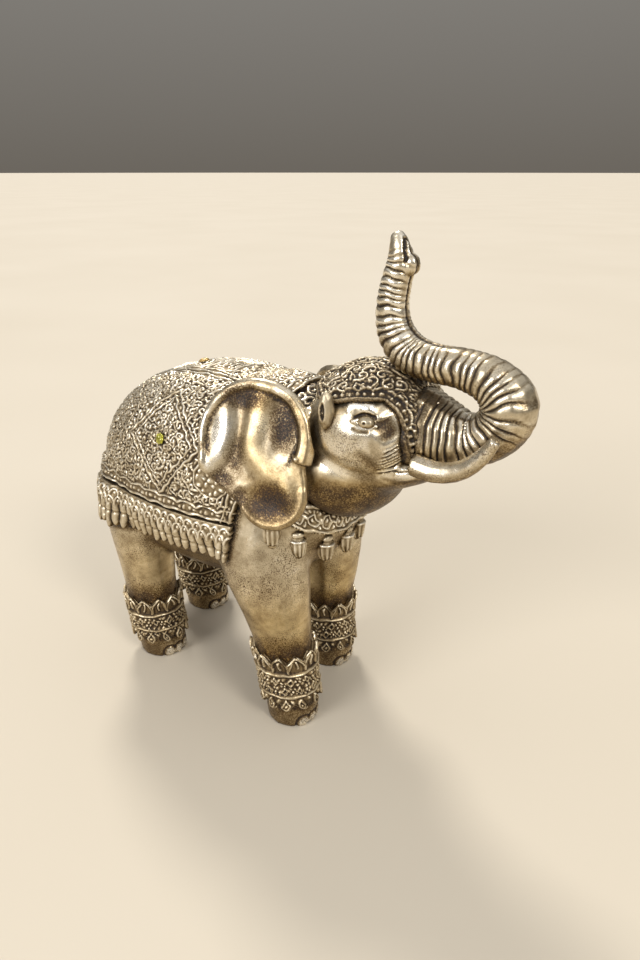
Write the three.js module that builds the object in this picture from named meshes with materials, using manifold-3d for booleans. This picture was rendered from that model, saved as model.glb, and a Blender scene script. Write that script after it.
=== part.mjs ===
// Trunk-up elephant figurine in festive dress: a cast body with its head, trunk, ears, tusks, blanket,
// fringes, headpiece, collar, pendants, anklets, tail and jewels as separate solids.
// Millimetres, +X towards the head, +Y the elephant's left, +Z up, soles on z = 0.
import * as THREE from 'three';
import { mergeVertices } from 'three/addons/utils/BufferGeometryUtils.js';
import Module from 'manifold-3d';

const wasm = await Module();
wasm.setup();

// ---------------------------------------------------------------- driving dimensions
const GAP = 0.3;                      // clearance between neighbouring solids
const FACE_MERGE = 1e-4;              // vertices closer than this are one vertex

const TORSO = { back: -59, front: 58, fullness: 0.58 };
// x, height of the section's centre, half-height, half-width
const TORSO_STATIONS = [
  [-62, 84, 40, 35],
  [-40, 88, 44, 37],
  [-10, 91.5, 44.5, 36.6],
  [25, 93, 42, 35.5],
  [60, 96, 35, 32],
];
const NECK = { back: -10, front: 66, fullness: 0.5 };
const NECK_STATIONS = [
  [-10, 104, 30, 28],
  [30, 108.5, 29, 27.5],
  [66, 112, 24, 22],
];
// z, x of the section's centre, y of the section's centre, half-length, half-width
const FRONT_RIGHT_LEG = [
  [0, 43.6, -20, 10.6, 10.4],
  [5, 43.4, -20, 11.4, 11],
  [12, 42.4, -20, 10.8, 10.4],
  [30, 40, -20, 11.4, 11],
  [45, 37, -20.4, 13.6, 12.4],
  [60, 32.5, -20.4, 18, 14.6],
  [78, 28, -19, 20.5, 16],
  [96, 26, -16, 20, 15],
];
const FRONT_LEFT_LEG = [
  [0, 34.4, 20, 10.6, 10.4],
  [5, 34.2, 20, 11.4, 11],
  [12, 33.6, 20, 10.8, 10.4],
  [30, 32.4, 20, 11.2, 11],
  [45, 32.6, 20.4, 13.4, 12.4],
  [60, 30.5, 20.4, 17.6, 14.6],
  [78, 28, 19, 20.5, 16],
  [96, 26, 16, 20, 15],
];
const REAR_RIGHT_LEG = [
  [0, -34.3, -20, 10.8, 10.6],
  [5, -34.8, -20, 11.6, 11.2],
  [12, -36.4, -20, 11, 10.6],
  [28, -38.8, -20, 11.4, 11],
  [44, -39.4, -20.4, 12.4, 12],
  [60, -40, -20.6, 13.6, 14],
  [78, -39, -19, 18, 17],
  [96, -38, -15, 18, 16],
];
const REAR_LEFT_LEG = [
  [0, -43.7, 20, 10.8, 10.6],
  [5, -44.2, 20, 11.6, 11.2],
  [12, -45.6, 20, 11, 10.6],
  [28, -47.4, 20, 11.4, 11],
  [44, -45.6, 20.4, 12.4, 12],
  [60, -43, 20.6, 13.6, 14],
  [78, -40, 19, 18, 17],
  [96, -38, 15, 18, 16],
];
const HAUNCH = { centre: [-42, -18.5, 67], radii: [15, 15, 15] };
const ANKLET = { thickness: 1.6, front: [9, 35], rear: [9, 31] };

const CRANIUM = { centre: [67, 0, 127.5], radii: [23.5, 25, 19.5] };
const CHEEKS = { centre: [57.5, 0, 110.5], radii: [21.5, 24.5, 20] };
const SNOUT = { back: 62, front: 93, fullness: 0.6 };
const SNOUT_STATIONS = [
  [62, 126, 16, 20],
  [80, 128, 14, 17.5],
  [93, 128.4, 12, 14.5],
];
const LOWER_JAW = { back: 58, front: 99, fullness: 0.7 };
const LOWER_JAW_STATIONS = [
  [58, 110, 13, 20],
  [80, 115, 9, 16],
  [99, 119, 4.6, 10],
];
// x, z, radius along the trunk from its root to its tip
const TRUNK_ROUTE = [
  [84, 128.4, 14.6],
  [90, 127.9, 13.4],
  [96, 127.7, 11.4],
  [101, 128, 9.5],
  [106.6, 129.6, 8.2],
  [112.8, 135.2, 8.4],
  [114.4, 142.4, 8.9],
  [109, 148.4, 7.4],
  [99, 151.2, 6.3],
  [88, 151.6, 6],
  [79, 153.8, 6.4],
  [73.4, 160.2, 5.8],
  [72, 168, 5.1],
  [73, 175.5, 4.7],
  [74.4, 182, 4.2],
  [73.6, 187, 3],
  [72.4, 190.4, 1.6],
];
const TRUNK_FINGER = { centre: [78.4, 0, 181.2], radii: [2.3, 2.6, 3.4] };

const TUSK_Y = 14;
// x, z, radius
const TUSK_ROUTE = [
  [90, 121.6, 3.9],
  [98, 120.8, 3.7],
  [106, 123.2, 3.2],
  [112.4, 128.8, 2.6],
  [116.6, 135.4, 1.8],
];

// The ear's plane leans out towards the rear and towards its lower lobe; u runs forwards, v up.
// Its arcs are given in half turns from u, and its rolled rim grows from the rear tip to the front.
const EAR = {
  thickness: 3,
  bevel: 0.9,
  corner: [57, -18, 143],
  rearwardFlare: 0.3,
  downwardFlare: 0.33,
  upper: { u: -22, v: -21, radius: 21.2 },
  lower: { u: -14.4, v: -38.2, radius: 13 },
  rearTip: [-42.2, -32.5],
  frontNotch: [-4.2, -26.5],
  arc: [1.12, -0.06],
  lowerArcEnd: -0.85,
  rim: 1.8,
  frontRim: 3.5,
  root: { centre: [55, -19, 124], radii: [5, 7, 14] },
  leftSetBack: 2,
  leftDrop: 7,
};
const EYE = { centre: [75.4, -20, 134.6], radii: [3.1, 2.3, 2] };
const TEMPLE_DROP = { centre: [62.6, -24.2, 137], radii: [2.3, 2.4, 6.6] };

const HEADPIECE = { thickness: 2 };
const HEADPIECE_SIDE = [
  [47, 141],
  [60, 138.5],
  [70, 141],
  [79, 141.6],
  [83.5, 138.5],
  [87.4, 132],
  [89.4, 122],
  [93.6, 122],
  [93.4, 132],
  [95.5, 139],
  [97, 160],
  [47, 160],
];

const BLANKET = { thickness: 2, hem: 89, squareness: 2.6 };
const BLANKET_SIDE = [
  [27.5, BLANKET.hem],
  [31, 100],
  [36, 122],
  [43, 150],
  [-100, 150],
  [-100, BLANKET.hem],
];
const FRINGE = { top: 88.6, bottom: 69, thickness: 2.4, rearX: -49, rearBottom: 76 };
const FRINGE_FRONT = { top: 28, bottom: 24.5, z: 73 };

const COLLAR = { thickness: 2, rear: [36, 104], front: [64, 88], halfWidth: 5, backLimit: 40, overrun: 20 };
const PENDANT = { sideways: [-28, -21, -11, 0, 11, 21, 28], drop: 13.6, radii: [3.1, 2.8, 7.4] };
// x, y, z, radius of the tail from the rump to its tuft
const TAIL_ROUTE = [
  [-54, 0, 80, 3.8],
  [-59, 1, 76, 3.8],
  [-61.4, 3, 69, 3.4],
  [-59.4, 5, 62, 2.8],
  [-56.4, 7, 56, 2.8],
  [-55, 8.4, 51, 3.2],
  [-54.4, 9, 46, 1.6],
];
const JEWEL = { radius: 2.2, depth: 1.2, flank: [-5.3, 115.9], top: [-15, 0] };

// Facets around and along each kind of piece.
const FACETS = {
  torso: [24, 16],
  neck: [18, 8],
  haunch: [14, 8],
  leg: [14, 8],
  skull: [20, 12],
  snout: [14, 6],
  trunk: [12, 46],
  trunkFinger: [10, 8],
  tusk: [8, 9],
  eye: [10, 6],
  drop: [8, 6],
  earRim: [6, 18],
  earRoot: [10, 6],
  earOutline: 40,
  pendant: [8, 6],
  jewel: [10, 6],
  anklet: [16, 3],
  tail: [8, 12],
};

const SILVER = { color: 0xb9ab8c, roughness: 0.36, metalness: 0.9 };
const DARK_SILVER = { color: 0x8d8062, roughness: 0.42, metalness: 0.9 };
const GOLD = { color: 0xb59a5a, roughness: 0.4, metalness: 0.9 };
const JEWEL_GREEN = { color: 0x9aa02c, roughness: 0.12, metalness: 0 };

// ---------------------------------------------------------------- solids and booleans
function solidOf(geometry) {
  const bare = geometry.clone();
  bare.deleteAttribute('normal');
  bare.deleteAttribute('uv');
  const merged = mergeVertices(bare, FACE_MERGE);
  const mesh = new wasm.Mesh({
    numProp: 3,
    vertProperties: Float32Array.from(merged.attributes.position.array),
    triVerts: Uint32Array.from(merged.index.array),
  });
  return new wasm.Manifold(mesh);
}

function geometryOf(solid) {
  const mesh = solid.getMesh();
  const geometry = new THREE.BufferGeometry();
  geometry.setAttribute('position', new THREE.BufferAttribute(Float32Array.from(mesh.vertProperties), 3));
  geometry.setIndex(new THREE.BufferAttribute(Uint32Array.from(mesh.triVerts), 1));
  geometry.computeVertexNormals();
  return geometry;
}

function union(solids) {
  return solids.reduce((all, one) => all.add(one));
}

// The same solid on the other side of the figurine's middle plane, y = 0.
function mirrored(solid) {
  const mesh = solid.getMesh();
  const vertProperties = Float32Array.from(
    mesh.vertProperties,
    (value, i) => (i % 3 === 1 ? -value : value),
  );
  const triVerts = Uint32Array.from(mesh.triVerts);
  for (let i = 0; i < triVerts.length; i += 3) {
    [triVerts[i + 1], triVerts[i + 2]] = [triVerts[i + 2], triVerts[i + 1]];
  }
  return new wasm.Manifold(new wasm.Mesh({ numProp: 3, vertProperties, triVerts }));
}

function sampler(stations) {
  const keys = stations.map((station) => station[0]);
  const values = stations.flatMap((station) => station.slice(1));
  return new THREE.CubicInterpolant(keys, values, stations[0].length - 1);
}

// ---------------------------------------------------------------- basic shapes
// A round-ended body along X whose sections follow the stations, grown outwards by offset.
function loftAlongX(range, stations, offset, facets, squareness = 2) {
  const geometry = new THREE.SphereGeometry(1, ...facets);
  const section = sampler(stations);
  const middle = (range.back + range.front) / 2;
  const reach = (range.front - range.back) / 2;
  const position = geometry.attributes.position;
  for (let i = 0; i < position.count; i += 1) {
    const lengthwise = THREE.MathUtils.clamp(position.getY(i), -1, 1);
    const ring = Math.sqrt(1 - lengthwise * lengthwise);
    const [centre, halfHeight, halfWidth] = section.evaluate(middle + reach * lengthwise);
    const across = ring > 0 ? -position.getX(i) / ring : 0;
    const upward = ring > 0 ? position.getZ(i) / ring : 0;
    const corner = (Math.abs(across) ** squareness + Math.abs(upward) ** squareness) ** (-1 / squareness);
    const square = ring > 0 ? corner : 0;
    const cap = ring ** range.fullness;
    position.setXYZ(
      i,
      middle + (reach + offset) * lengthwise,
      across * square * (halfWidth + offset) * cap,
      centre + upward * square * (halfHeight + offset) * cap,
    );
  }
  return geometry;
}

// A column along Z with elliptic sections and a flat face at each end.
function column(stations, offset, bottom, top, facets) {
  const geometry = new THREE.CylinderGeometry(1, 1, 1, ...facets);
  const section = sampler(stations);
  const position = geometry.attributes.position;
  for (let i = 0; i < position.count; i += 1) {
    const z = THREE.MathUtils.lerp(bottom, top, position.getY(i) + 0.5);
    const [x, y, halfLength, halfWidth] = section.evaluate(z);
    position.setXYZ(
      i,
      x + position.getX(i) * (halfLength + offset),
      y - position.getZ(i) * (halfWidth + offset),
      z,
    );
  }
  return geometry;
}

// A tube of changing radius along a smooth route; each route point is [x, y, z, radius].
function taperedTube(route, offset, [sides, steps]) {
  const path = new THREE.CatmullRomCurve3(route.map(([x, y, z]) => new THREE.Vector3(x, y, z)));
  const radii = new THREE.CubicInterpolant(
    route.map((point, i) => i / (route.length - 1)),
    route.map((point) => point[3]),
    1,
  );
  const frames = path.computeFrenetFrames(steps);
  const geometry = new THREE.CylinderGeometry(1, 1, 1, sides, steps);
  const position = geometry.attributes.position;
  const point = new THREE.Vector3();
  for (let i = 0; i < position.count; i += 1) {
    const t = position.getY(i) + 0.5;
    const frame = Math.round(t * steps);
    const radius = radii.evaluate(path.getUtoTmapping(t))[0] + offset;
    point.copy(path.getPointAt(t));
    point.addScaledVector(frames.normals[frame], position.getX(i) * radius);
    point.addScaledVector(frames.binormals[frame], -position.getZ(i) * radius);
    position.setXYZ(i, point.x, point.y, point.z);
  }
  return geometry;
}

function ellipsoid({ centre, radii }, offset, facets) {
  const geometry = new THREE.SphereGeometry(1, ...facets);
  geometry.scale(radii[0] + offset, radii[1] + offset, radii[2] + offset);
  geometry.translate(...centre);
  return geometry;
}

// A prism through Y whose side view is the outline, from y = near to y = far.
function sidePrism(outline, near, far) {
  const shape = new THREE.Shape(outline.map(([x, z]) => new THREE.Vector2(x, z)));
  const geometry = new THREE.ExtrudeGeometry(shape, { depth: far - near, bevelEnabled: false });
  geometry.rotateX(Math.PI / 2);
  geometry.translate(0, far, 0);
  return geometry;
}

function boxBetween(low, high) {
  const geometry = new THREE.BoxGeometry(high[0] - low[0], high[1] - low[1], high[2] - low[2]);
  geometry.translate((low[0] + high[0]) / 2, (low[1] + high[1]) / 2, (low[2] + high[2]) / 2);
  return geometry;
}

// ---------------------------------------------------------------- body
const LEG_TOP = 96;
const FAR = 200;                      // past every face of the figurine

function legSolid(stations, offset) {
  return solidOf(column(stations, offset, 0, LEG_TOP, FACETS.leg));
}

function bodySolid(offset) {
  const torso = solidOf(loftAlongX(TORSO, TORSO_STATIONS, offset, FACETS.torso));
  const neck = solidOf(loftAlongX(NECK, NECK_STATIONS, offset, FACETS.neck));
  const legs = [FRONT_RIGHT_LEG, FRONT_LEFT_LEG, REAR_RIGHT_LEG, REAR_LEFT_LEG];
  const haunch = solidOf(ellipsoid(HAUNCH, offset, FACETS.haunch));
  return union([torso, neck, haunch, mirrored(haunch), ...legs.map((leg) => legSolid(leg, offset))]);
}

// ---------------------------------------------------------------- head
function headSolid(offset) {
  return union([
    solidOf(ellipsoid(CRANIUM, offset, FACETS.skull)),
    solidOf(ellipsoid(CHEEKS, offset, FACETS.skull)),
    solidOf(loftAlongX(SNOUT, SNOUT_STATIONS, offset, FACETS.snout)),
    solidOf(loftAlongX(LOWER_JAW, LOWER_JAW_STATIONS, offset, FACETS.snout)),
  ]);
}

function trunkSolid(offset) {
  const route = TRUNK_ROUTE.map(([x, z, radius]) => [x, 0, z, radius]);
  const finger = solidOf(ellipsoid(TRUNK_FINGER, offset, FACETS.trunkFinger));
  return solidOf(taperedTube(route, offset, FACETS.trunk)).add(finger);
}

function tuskSolid(offset) {
  const route = TUSK_ROUTE.map(([x, z, radius]) => [x, -TUSK_Y, z, radius]);
  return solidOf(taperedTube(route, offset, FACETS.tusk));
}

// Ear outline in its own plane: a large upper lobe, a small lower lobe and a rear tip.
function earShape() {
  const { upper, lower, rearTip, frontNotch, arc, lowerArcEnd } = EAR;
  const shape = new THREE.Shape();
  shape.absarc(upper.u, upper.v, upper.radius, arc[0] * Math.PI, arc[1] * Math.PI, true);
  shape.quadraticCurveTo(frontNotch[0] + 3, frontNotch[1] + 2, frontNotch[0], frontNotch[1]);
  shape.quadraticCurveTo(frontNotch[0] + 2, frontNotch[1] - 4, lower.u + lower.radius, lower.v);
  shape.absarc(lower.u, lower.v, lower.radius, 0, lowerArcEnd * Math.PI, true);
  shape.quadraticCurveTo(rearTip[0] + 5, rearTip[1] - 4, rearTip[0], rearTip[1]);
  shape.closePath();
  return new THREE.Shape(shape.getSpacedPoints(FACETS.earOutline).slice(0, -1));
}

// Rolled rim from the rear tip over the top to the curl at the front; [u, v, height, radius].
function earRimRoute() {
  const { upper, rearTip, rim, frontRim, thickness } = EAR;
  const height = thickness - 0.4;
  const arcPoints = 9;
  const points = [[rearTip[0] + 1, rearTip[1] + 1, height, rim * 0.6]];
  for (let i = 0; i <= arcPoints; i += 1) {
    const share = i / arcPoints;
    const angle = THREE.MathUtils.lerp(1.08, -0.1, share) * Math.PI;
    const radius = THREE.MathUtils.lerp(rim, frontRim, share * share);
    const reach = upper.radius + 0.8 - radius;
    points.push([upper.u + reach * Math.cos(angle), upper.v + reach * Math.sin(angle), height, radius]);
  }
  return points;
}

function earPlacement() {
  const outward = new THREE.Vector3(EAR.rearwardFlare, -1, EAR.downwardFlare).normalize();
  const up = new THREE.Vector3(0, 0, 1).addScaledVector(outward, -outward.z).normalize();
  const forward = new THREE.Vector3().crossVectors(up, outward);
  const corner = new THREE.Vector3(...EAR.corner).addScaledVector(outward, 1 - EAR.thickness);
  return new THREE.Matrix4().makeBasis(forward, up, outward).setPosition(corner);
}

function earSolid(setBack, drop) {
  const { thickness, bevel } = EAR;
  const plate = new THREE.ExtrudeGeometry(earShape(), {
    depth: thickness - 2 * bevel,
    bevelEnabled: true,
    bevelThickness: bevel,
    bevelSize: bevel,
    bevelOffset: -bevel,
    bevelSegments: 1,
  });
  plate.translate(0, 0, bevel);
  const rim = taperedTube(earRimRoute(), 0, FACETS.earRim);
  const placed = [plate, rim].map((geometry) => geometry.applyMatrix4(earPlacement()));
  placed.push(ellipsoid(EAR.root, 0, FACETS.earRoot));
  return union(placed.map((geometry) => solidOf(geometry.translate(-setBack, 0, -drop))));
}

// ---------------------------------------------------------------- dress
function drapeSolid(offset) {
  const draped = solidOf(loftAlongX(TORSO, TORSO_STATIONS, offset, FACETS.torso, BLANKET.squareness));
  return draped.add(bodySolid(offset));
}

function blanketSolid() {
  const region = solidOf(sidePrism(BLANKET_SIDE, -FAR, FAR));
  return drapeSolid(BLANKET.thickness).intersect(region);
}

function fringeSolid() {
  const region = solidOf(sidePrism([
    [FRINGE_FRONT.bottom, FRINGE_FRONT.z],
    [FRINGE_FRONT.top, FRINGE.top],
    [-FAR, FRINGE.top],
    [-FAR, FRINGE.rearBottom],
    [FRINGE.rearX, FRINGE.rearBottom],
    [FRINGE.rearX, FRINGE.bottom],
  ], -FAR, FAR));
  return drapeSolid(FRINGE.thickness).intersect(region);
}

// The collar's band, grown outwards by offset, before the body is cut out of it.
function collarBand(offset) {
  const { rear, front, halfWidth, backLimit, thickness } = COLLAR;
  const along = new THREE.Vector2(front[0] - rear[0], front[1] - rear[1]).normalize();
  const side = new THREE.Vector2(-along.y, along.x).multiplyScalar(halfWidth + offset);
  const start = new THREE.Vector2(backLimit, collarHeight(backLimit));
  const end = new THREE.Vector2(...front).addScaledVector(along, COLLAR.overrun);
  const outline = [
    [start.x + side.x, start.y + side.y],
    [start.x - side.x, start.y - side.y],
    [end.x - side.x, end.y - side.y],
    [end.x + side.x, end.y + side.y],
  ];
  return bodySolid(thickness + offset).intersect(solidOf(sidePrism(outline, -FAR, FAR)));
}

// Height of the collar's middle line above a point x on the chest.
function collarHeight(x) {
  const { rear, front } = COLLAR;
  return rear[1] + ((x - rear[0]) * (front[1] - rear[1])) / (front[0] - rear[0]);
}

// First point of a surface met by a straight line.
function surfacePoint(surface, from, direction) {
  const line = new THREE.Raycaster(new THREE.Vector3(...from), new THREE.Vector3(...direction));
  return line.intersectObject(surface)[0];
}

function pendantSolid(chest, y) {
  const throat = surfacePoint(chest, [FAR, y, COLLAR.front[1]], [-1, 0, 0]).point;
  const z = collarHeight(throat.x) - PENDANT.drop;
  const centre = surfacePoint(chest, [FAR, y, z], [-1, 0, 0]).point.toArray();
  return solidOf(ellipsoid({ centre, radii: PENDANT.radii }, 0, FACETS.pendant));
}

// A low round jewel seated on a surface.
function jewelSolid(surface, from, direction) {
  const hit = surfacePoint(surface, from, direction);
  const geometry = new THREE.SphereGeometry(1, ...FACETS.jewel);
  geometry.scale(JEWEL.radius, JEWEL.depth, JEWEL.radius);
  const turn = new THREE.Quaternion().setFromUnitVectors(new THREE.Vector3(0, 1, 0), hit.face.normal);
  geometry.applyQuaternion(turn);
  geometry.translate(...hit.point.toArray());
  return solidOf(geometry);
}

function ankletSolid(stations, [bottom, top]) {
  return solidOf(column(stations, ANKLET.thickness, bottom, top, FACETS.anklet));
}

// ---------------------------------------------------------------- assembly
const elephant = new THREE.Group();
const figure = new THREE.Group();
elephant.add(figure);

function addPiece(name, solid, look) {
  const mesh = new THREE.Mesh(geometryOf(solid), new THREE.MeshStandardMaterial(look));
  mesh.name = name;
  figure.add(mesh);
}

function addPair(name, solid, look) {
  addPiece(`right_${name}`, solid, look);
  addPiece(`left_${name}`, mirrored(solid), look);
}

function surfaceOf(solid) {
  return new THREE.Mesh(geometryOf(solid));
}

const bodyCutter = bodySolid(GAP);
const headCutter = headSolid(GAP);
const trunkCutter = trunkSolid(GAP);
const dressedHeadCutter = headSolid(HEADPIECE.thickness + GAP);

addPiece('body_casting', bodySolid(0), SILVER);

const tuskCutter = tuskSolid(GAP);
const tuskSockets = tuskCutter.add(mirrored(tuskCutter));
const eyeCutter = solidOf(ellipsoid(EYE, GAP, FACETS.eye));
const eyeSockets = eyeCutter.add(mirrored(eyeCutter));
const head = headSolid(0).subtract(bodyCutter).subtract(trunkCutter);
addPiece('head_casting', head.subtract(tuskSockets).subtract(eyeSockets), SILVER);
addPair('eye', solidOf(ellipsoid(EYE, 0, FACETS.eye)), SILVER);
addPiece('trunk', trunkSolid(0).subtract(tuskSockets), SILVER);
addPair('tusk', tuskSolid(0), SILVER);

const headpieceSide = solidOf(sidePrism(HEADPIECE_SIDE, -FAR, FAR));
const headpiece = headSolid(HEADPIECE.thickness).intersect(headpieceSide).subtract(headCutter);
const headpieceCutter = union([trunkCutter, bodyCutter, tuskSockets]);
addPiece('headpiece', headpiece.subtract(headpieceCutter), DARK_SILVER);
const drop = solidOf(ellipsoid(TEMPLE_DROP, 0, FACETS.drop)).subtract(headCutter);
addPair('temple_drop', drop.subtract(dressedHeadCutter.intersect(headpieceSide)), SILVER);

const blanket = blanketSolid().subtract(bodyCutter).subtract(dressedHeadCutter);
const blanketSurface = surfaceOf(blanket);
const flankJewel = jewelSolid(blanketSurface, [JEWEL.flank[0], -FAR, JEWEL.flank[1]], [0, 1, 0]);
const topJewel = jewelSolid(blanketSurface, [JEWEL.top[0], JEWEL.top[1], FAR], [0, 0, -1]);
const drapeCutter = drapeSolid(BLANKET.thickness + GAP);
addPiece('saddle_blanket', blanket, DARK_SILVER);
addPair('blanket_jewel', flankJewel.subtract(drapeCutter), JEWEL_GREEN);
addPiece('top_jewel', topJewel.subtract(drapeCutter), GOLD);

const fringe = fringeSolid().subtract(bodyCutter);
const { rearX } = FRINGE;
const rightSide = solidOf(boxBetween([rearX, -FAR, 0], [FAR, 0, FAR]));
const rearSide = solidOf(boxBetween([-FAR, -FAR, 0], [rearX - GAP, FAR, FAR]));
addPiece('right_fringe', fringe.intersect(rightSide), SILVER);
addPiece('left_fringe', fringe.intersect(mirrored(rightSide)), SILVER);
addPiece('rear_fringe', fringe.intersect(rearSide), SILVER);

const dropCutter = solidOf(ellipsoid(TEMPLE_DROP, GAP, FACETS.drop));
const earSurroundings = union([dressedHeadCutter, drapeCutter, dropCutter, mirrored(dropCutter)]);
addPiece('right_ear', earSolid(0, 0).subtract(earSurroundings), SILVER);
const leftEar = mirrored(earSolid(EAR.leftSetBack, EAR.leftDrop));
addPiece('left_ear', leftEar.subtract(earSurroundings), SILVER);

const chest = surfaceOf(bodySolid(0));
const collar = collarBand(0).subtract(bodyCutter).subtract(headCutter);
const collarCutter = collarBand(GAP);
addPiece('collar', collar, DARK_SILVER);
PENDANT.sideways.forEach((y, i) => {
  const pendant = pendantSolid(chest, y).subtract(bodyCutter);
  addPiece(`collar_pendant_${i + 1}`, pendant.subtract(collarCutter), SILVER);
});

const tail = solidOf(taperedTube(TAIL_ROUTE, 0, FACETS.tail));
addPiece('tail', tail.subtract(bodyCutter).subtract(drapeSolid(FRINGE.thickness + GAP)), SILVER);

const legs = [
  ['front_right', FRONT_RIGHT_LEG, ANKLET.front],
  ['front_left', FRONT_LEFT_LEG, ANKLET.front],
  ['rear_right', REAR_RIGHT_LEG, ANKLET.rear],
  ['rear_left', REAR_LEFT_LEG, ANKLET.rear],
];
for (const [place, stations, heights] of legs) {
  addPiece(`${place}_anklet`, ankletSolid(stations, heights).subtract(bodyCutter), DARK_SILVER);
}

// The origin goes to the middle of the figurine's footprint, on the ground.
const box = new THREE.Box3().setFromObject(figure);
figure.position.set(-(box.min.x + box.max.x) / 2, -(box.min.y + box.max.y) / 2, 0);

export default elephant;
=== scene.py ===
"""The looks of the antiqued silver elephant figurine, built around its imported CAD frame."""

import math

import bpy
import numpy as np
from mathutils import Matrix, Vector
from mathutils.bvhtree import BVHTree


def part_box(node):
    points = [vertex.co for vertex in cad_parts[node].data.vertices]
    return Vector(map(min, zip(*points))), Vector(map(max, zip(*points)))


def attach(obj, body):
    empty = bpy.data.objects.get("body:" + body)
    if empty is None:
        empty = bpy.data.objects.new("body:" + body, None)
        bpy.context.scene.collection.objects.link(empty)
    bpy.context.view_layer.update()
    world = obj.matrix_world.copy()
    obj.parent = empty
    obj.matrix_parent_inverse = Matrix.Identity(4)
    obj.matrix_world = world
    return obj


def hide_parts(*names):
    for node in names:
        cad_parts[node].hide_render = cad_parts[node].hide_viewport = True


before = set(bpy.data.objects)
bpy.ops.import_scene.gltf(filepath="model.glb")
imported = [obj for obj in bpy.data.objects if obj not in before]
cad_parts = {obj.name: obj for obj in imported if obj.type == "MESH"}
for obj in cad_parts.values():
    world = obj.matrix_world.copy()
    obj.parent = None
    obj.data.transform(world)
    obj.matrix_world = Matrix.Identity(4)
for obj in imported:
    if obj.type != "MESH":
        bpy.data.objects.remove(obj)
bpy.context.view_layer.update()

MM = 0.001
SEED = 20261117


def array(values):
    return np.array(values, dtype=float)


def box_mm(node):
    low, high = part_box(node)
    return array(low) / MM, array(high) / MM


def centre_mm(node):
    low, high = box_mm(node)
    return (low + high) / 2


# Smooth curves and bump profiles.

def spline(points, step=0.4, closed=False):
    """Evenly dense points along a Catmull-Rom curve through the given ones."""
    p = array(points)
    if closed:
        p = np.vstack([p[-1], p, p[0], p[1]])
    else:
        p = np.vstack([2 * p[0] - p[1], p, 2 * p[-1] - p[-2]])
    out = []
    for a, b, c, d in zip(p[:-3], p[1:-2], p[2:-1], p[3:]):
        count = max(2, int(np.linalg.norm(c - b) / step))
        t = np.linspace(0, 1, count, endpoint=False)[:, None]
        out.append(0.5 * (2 * b + (c - a) * t + (2 * a - 5 * b + 4 * c - d) * t ** 2
                          + (3 * b - a - 3 * c + d) * t ** 3))
    out.append(p[-2][None])
    return np.vstack(out)


def bump(distance, reach):
    """1 on a line, falling smoothly to 0 at reach from it."""
    t = np.clip(distance / reach, 0, 1)
    return (1 - t * t) ** 2


def fade(value, start, end):
    """0 at start and 1 at end, with a smooth slope between."""
    t = np.clip((value - start) / (end - start), 0, 1)
    return t * t * (3 - 2 * t)


def spiral(centre, radius, turns, start, hand=1, inner=0.18, tail=0.0):
    """A scroll that winds outwards from its centre, with a straight tail if one is asked for."""
    t = np.linspace(0, 1, max(8, int(turns * 16)))
    r = radius * (inner + (1 - inner) * t)
    a = start + hand * turns * 2 * math.pi * t
    path = np.stack([centre[0] + r * np.cos(a), centre[1] + r * np.sin(a)], axis=1)
    if tail:
        step = path[-1] - path[-2]
        path = np.vstack([path, path[-1] + step / np.linalg.norm(step) * tail])
    return path


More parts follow.
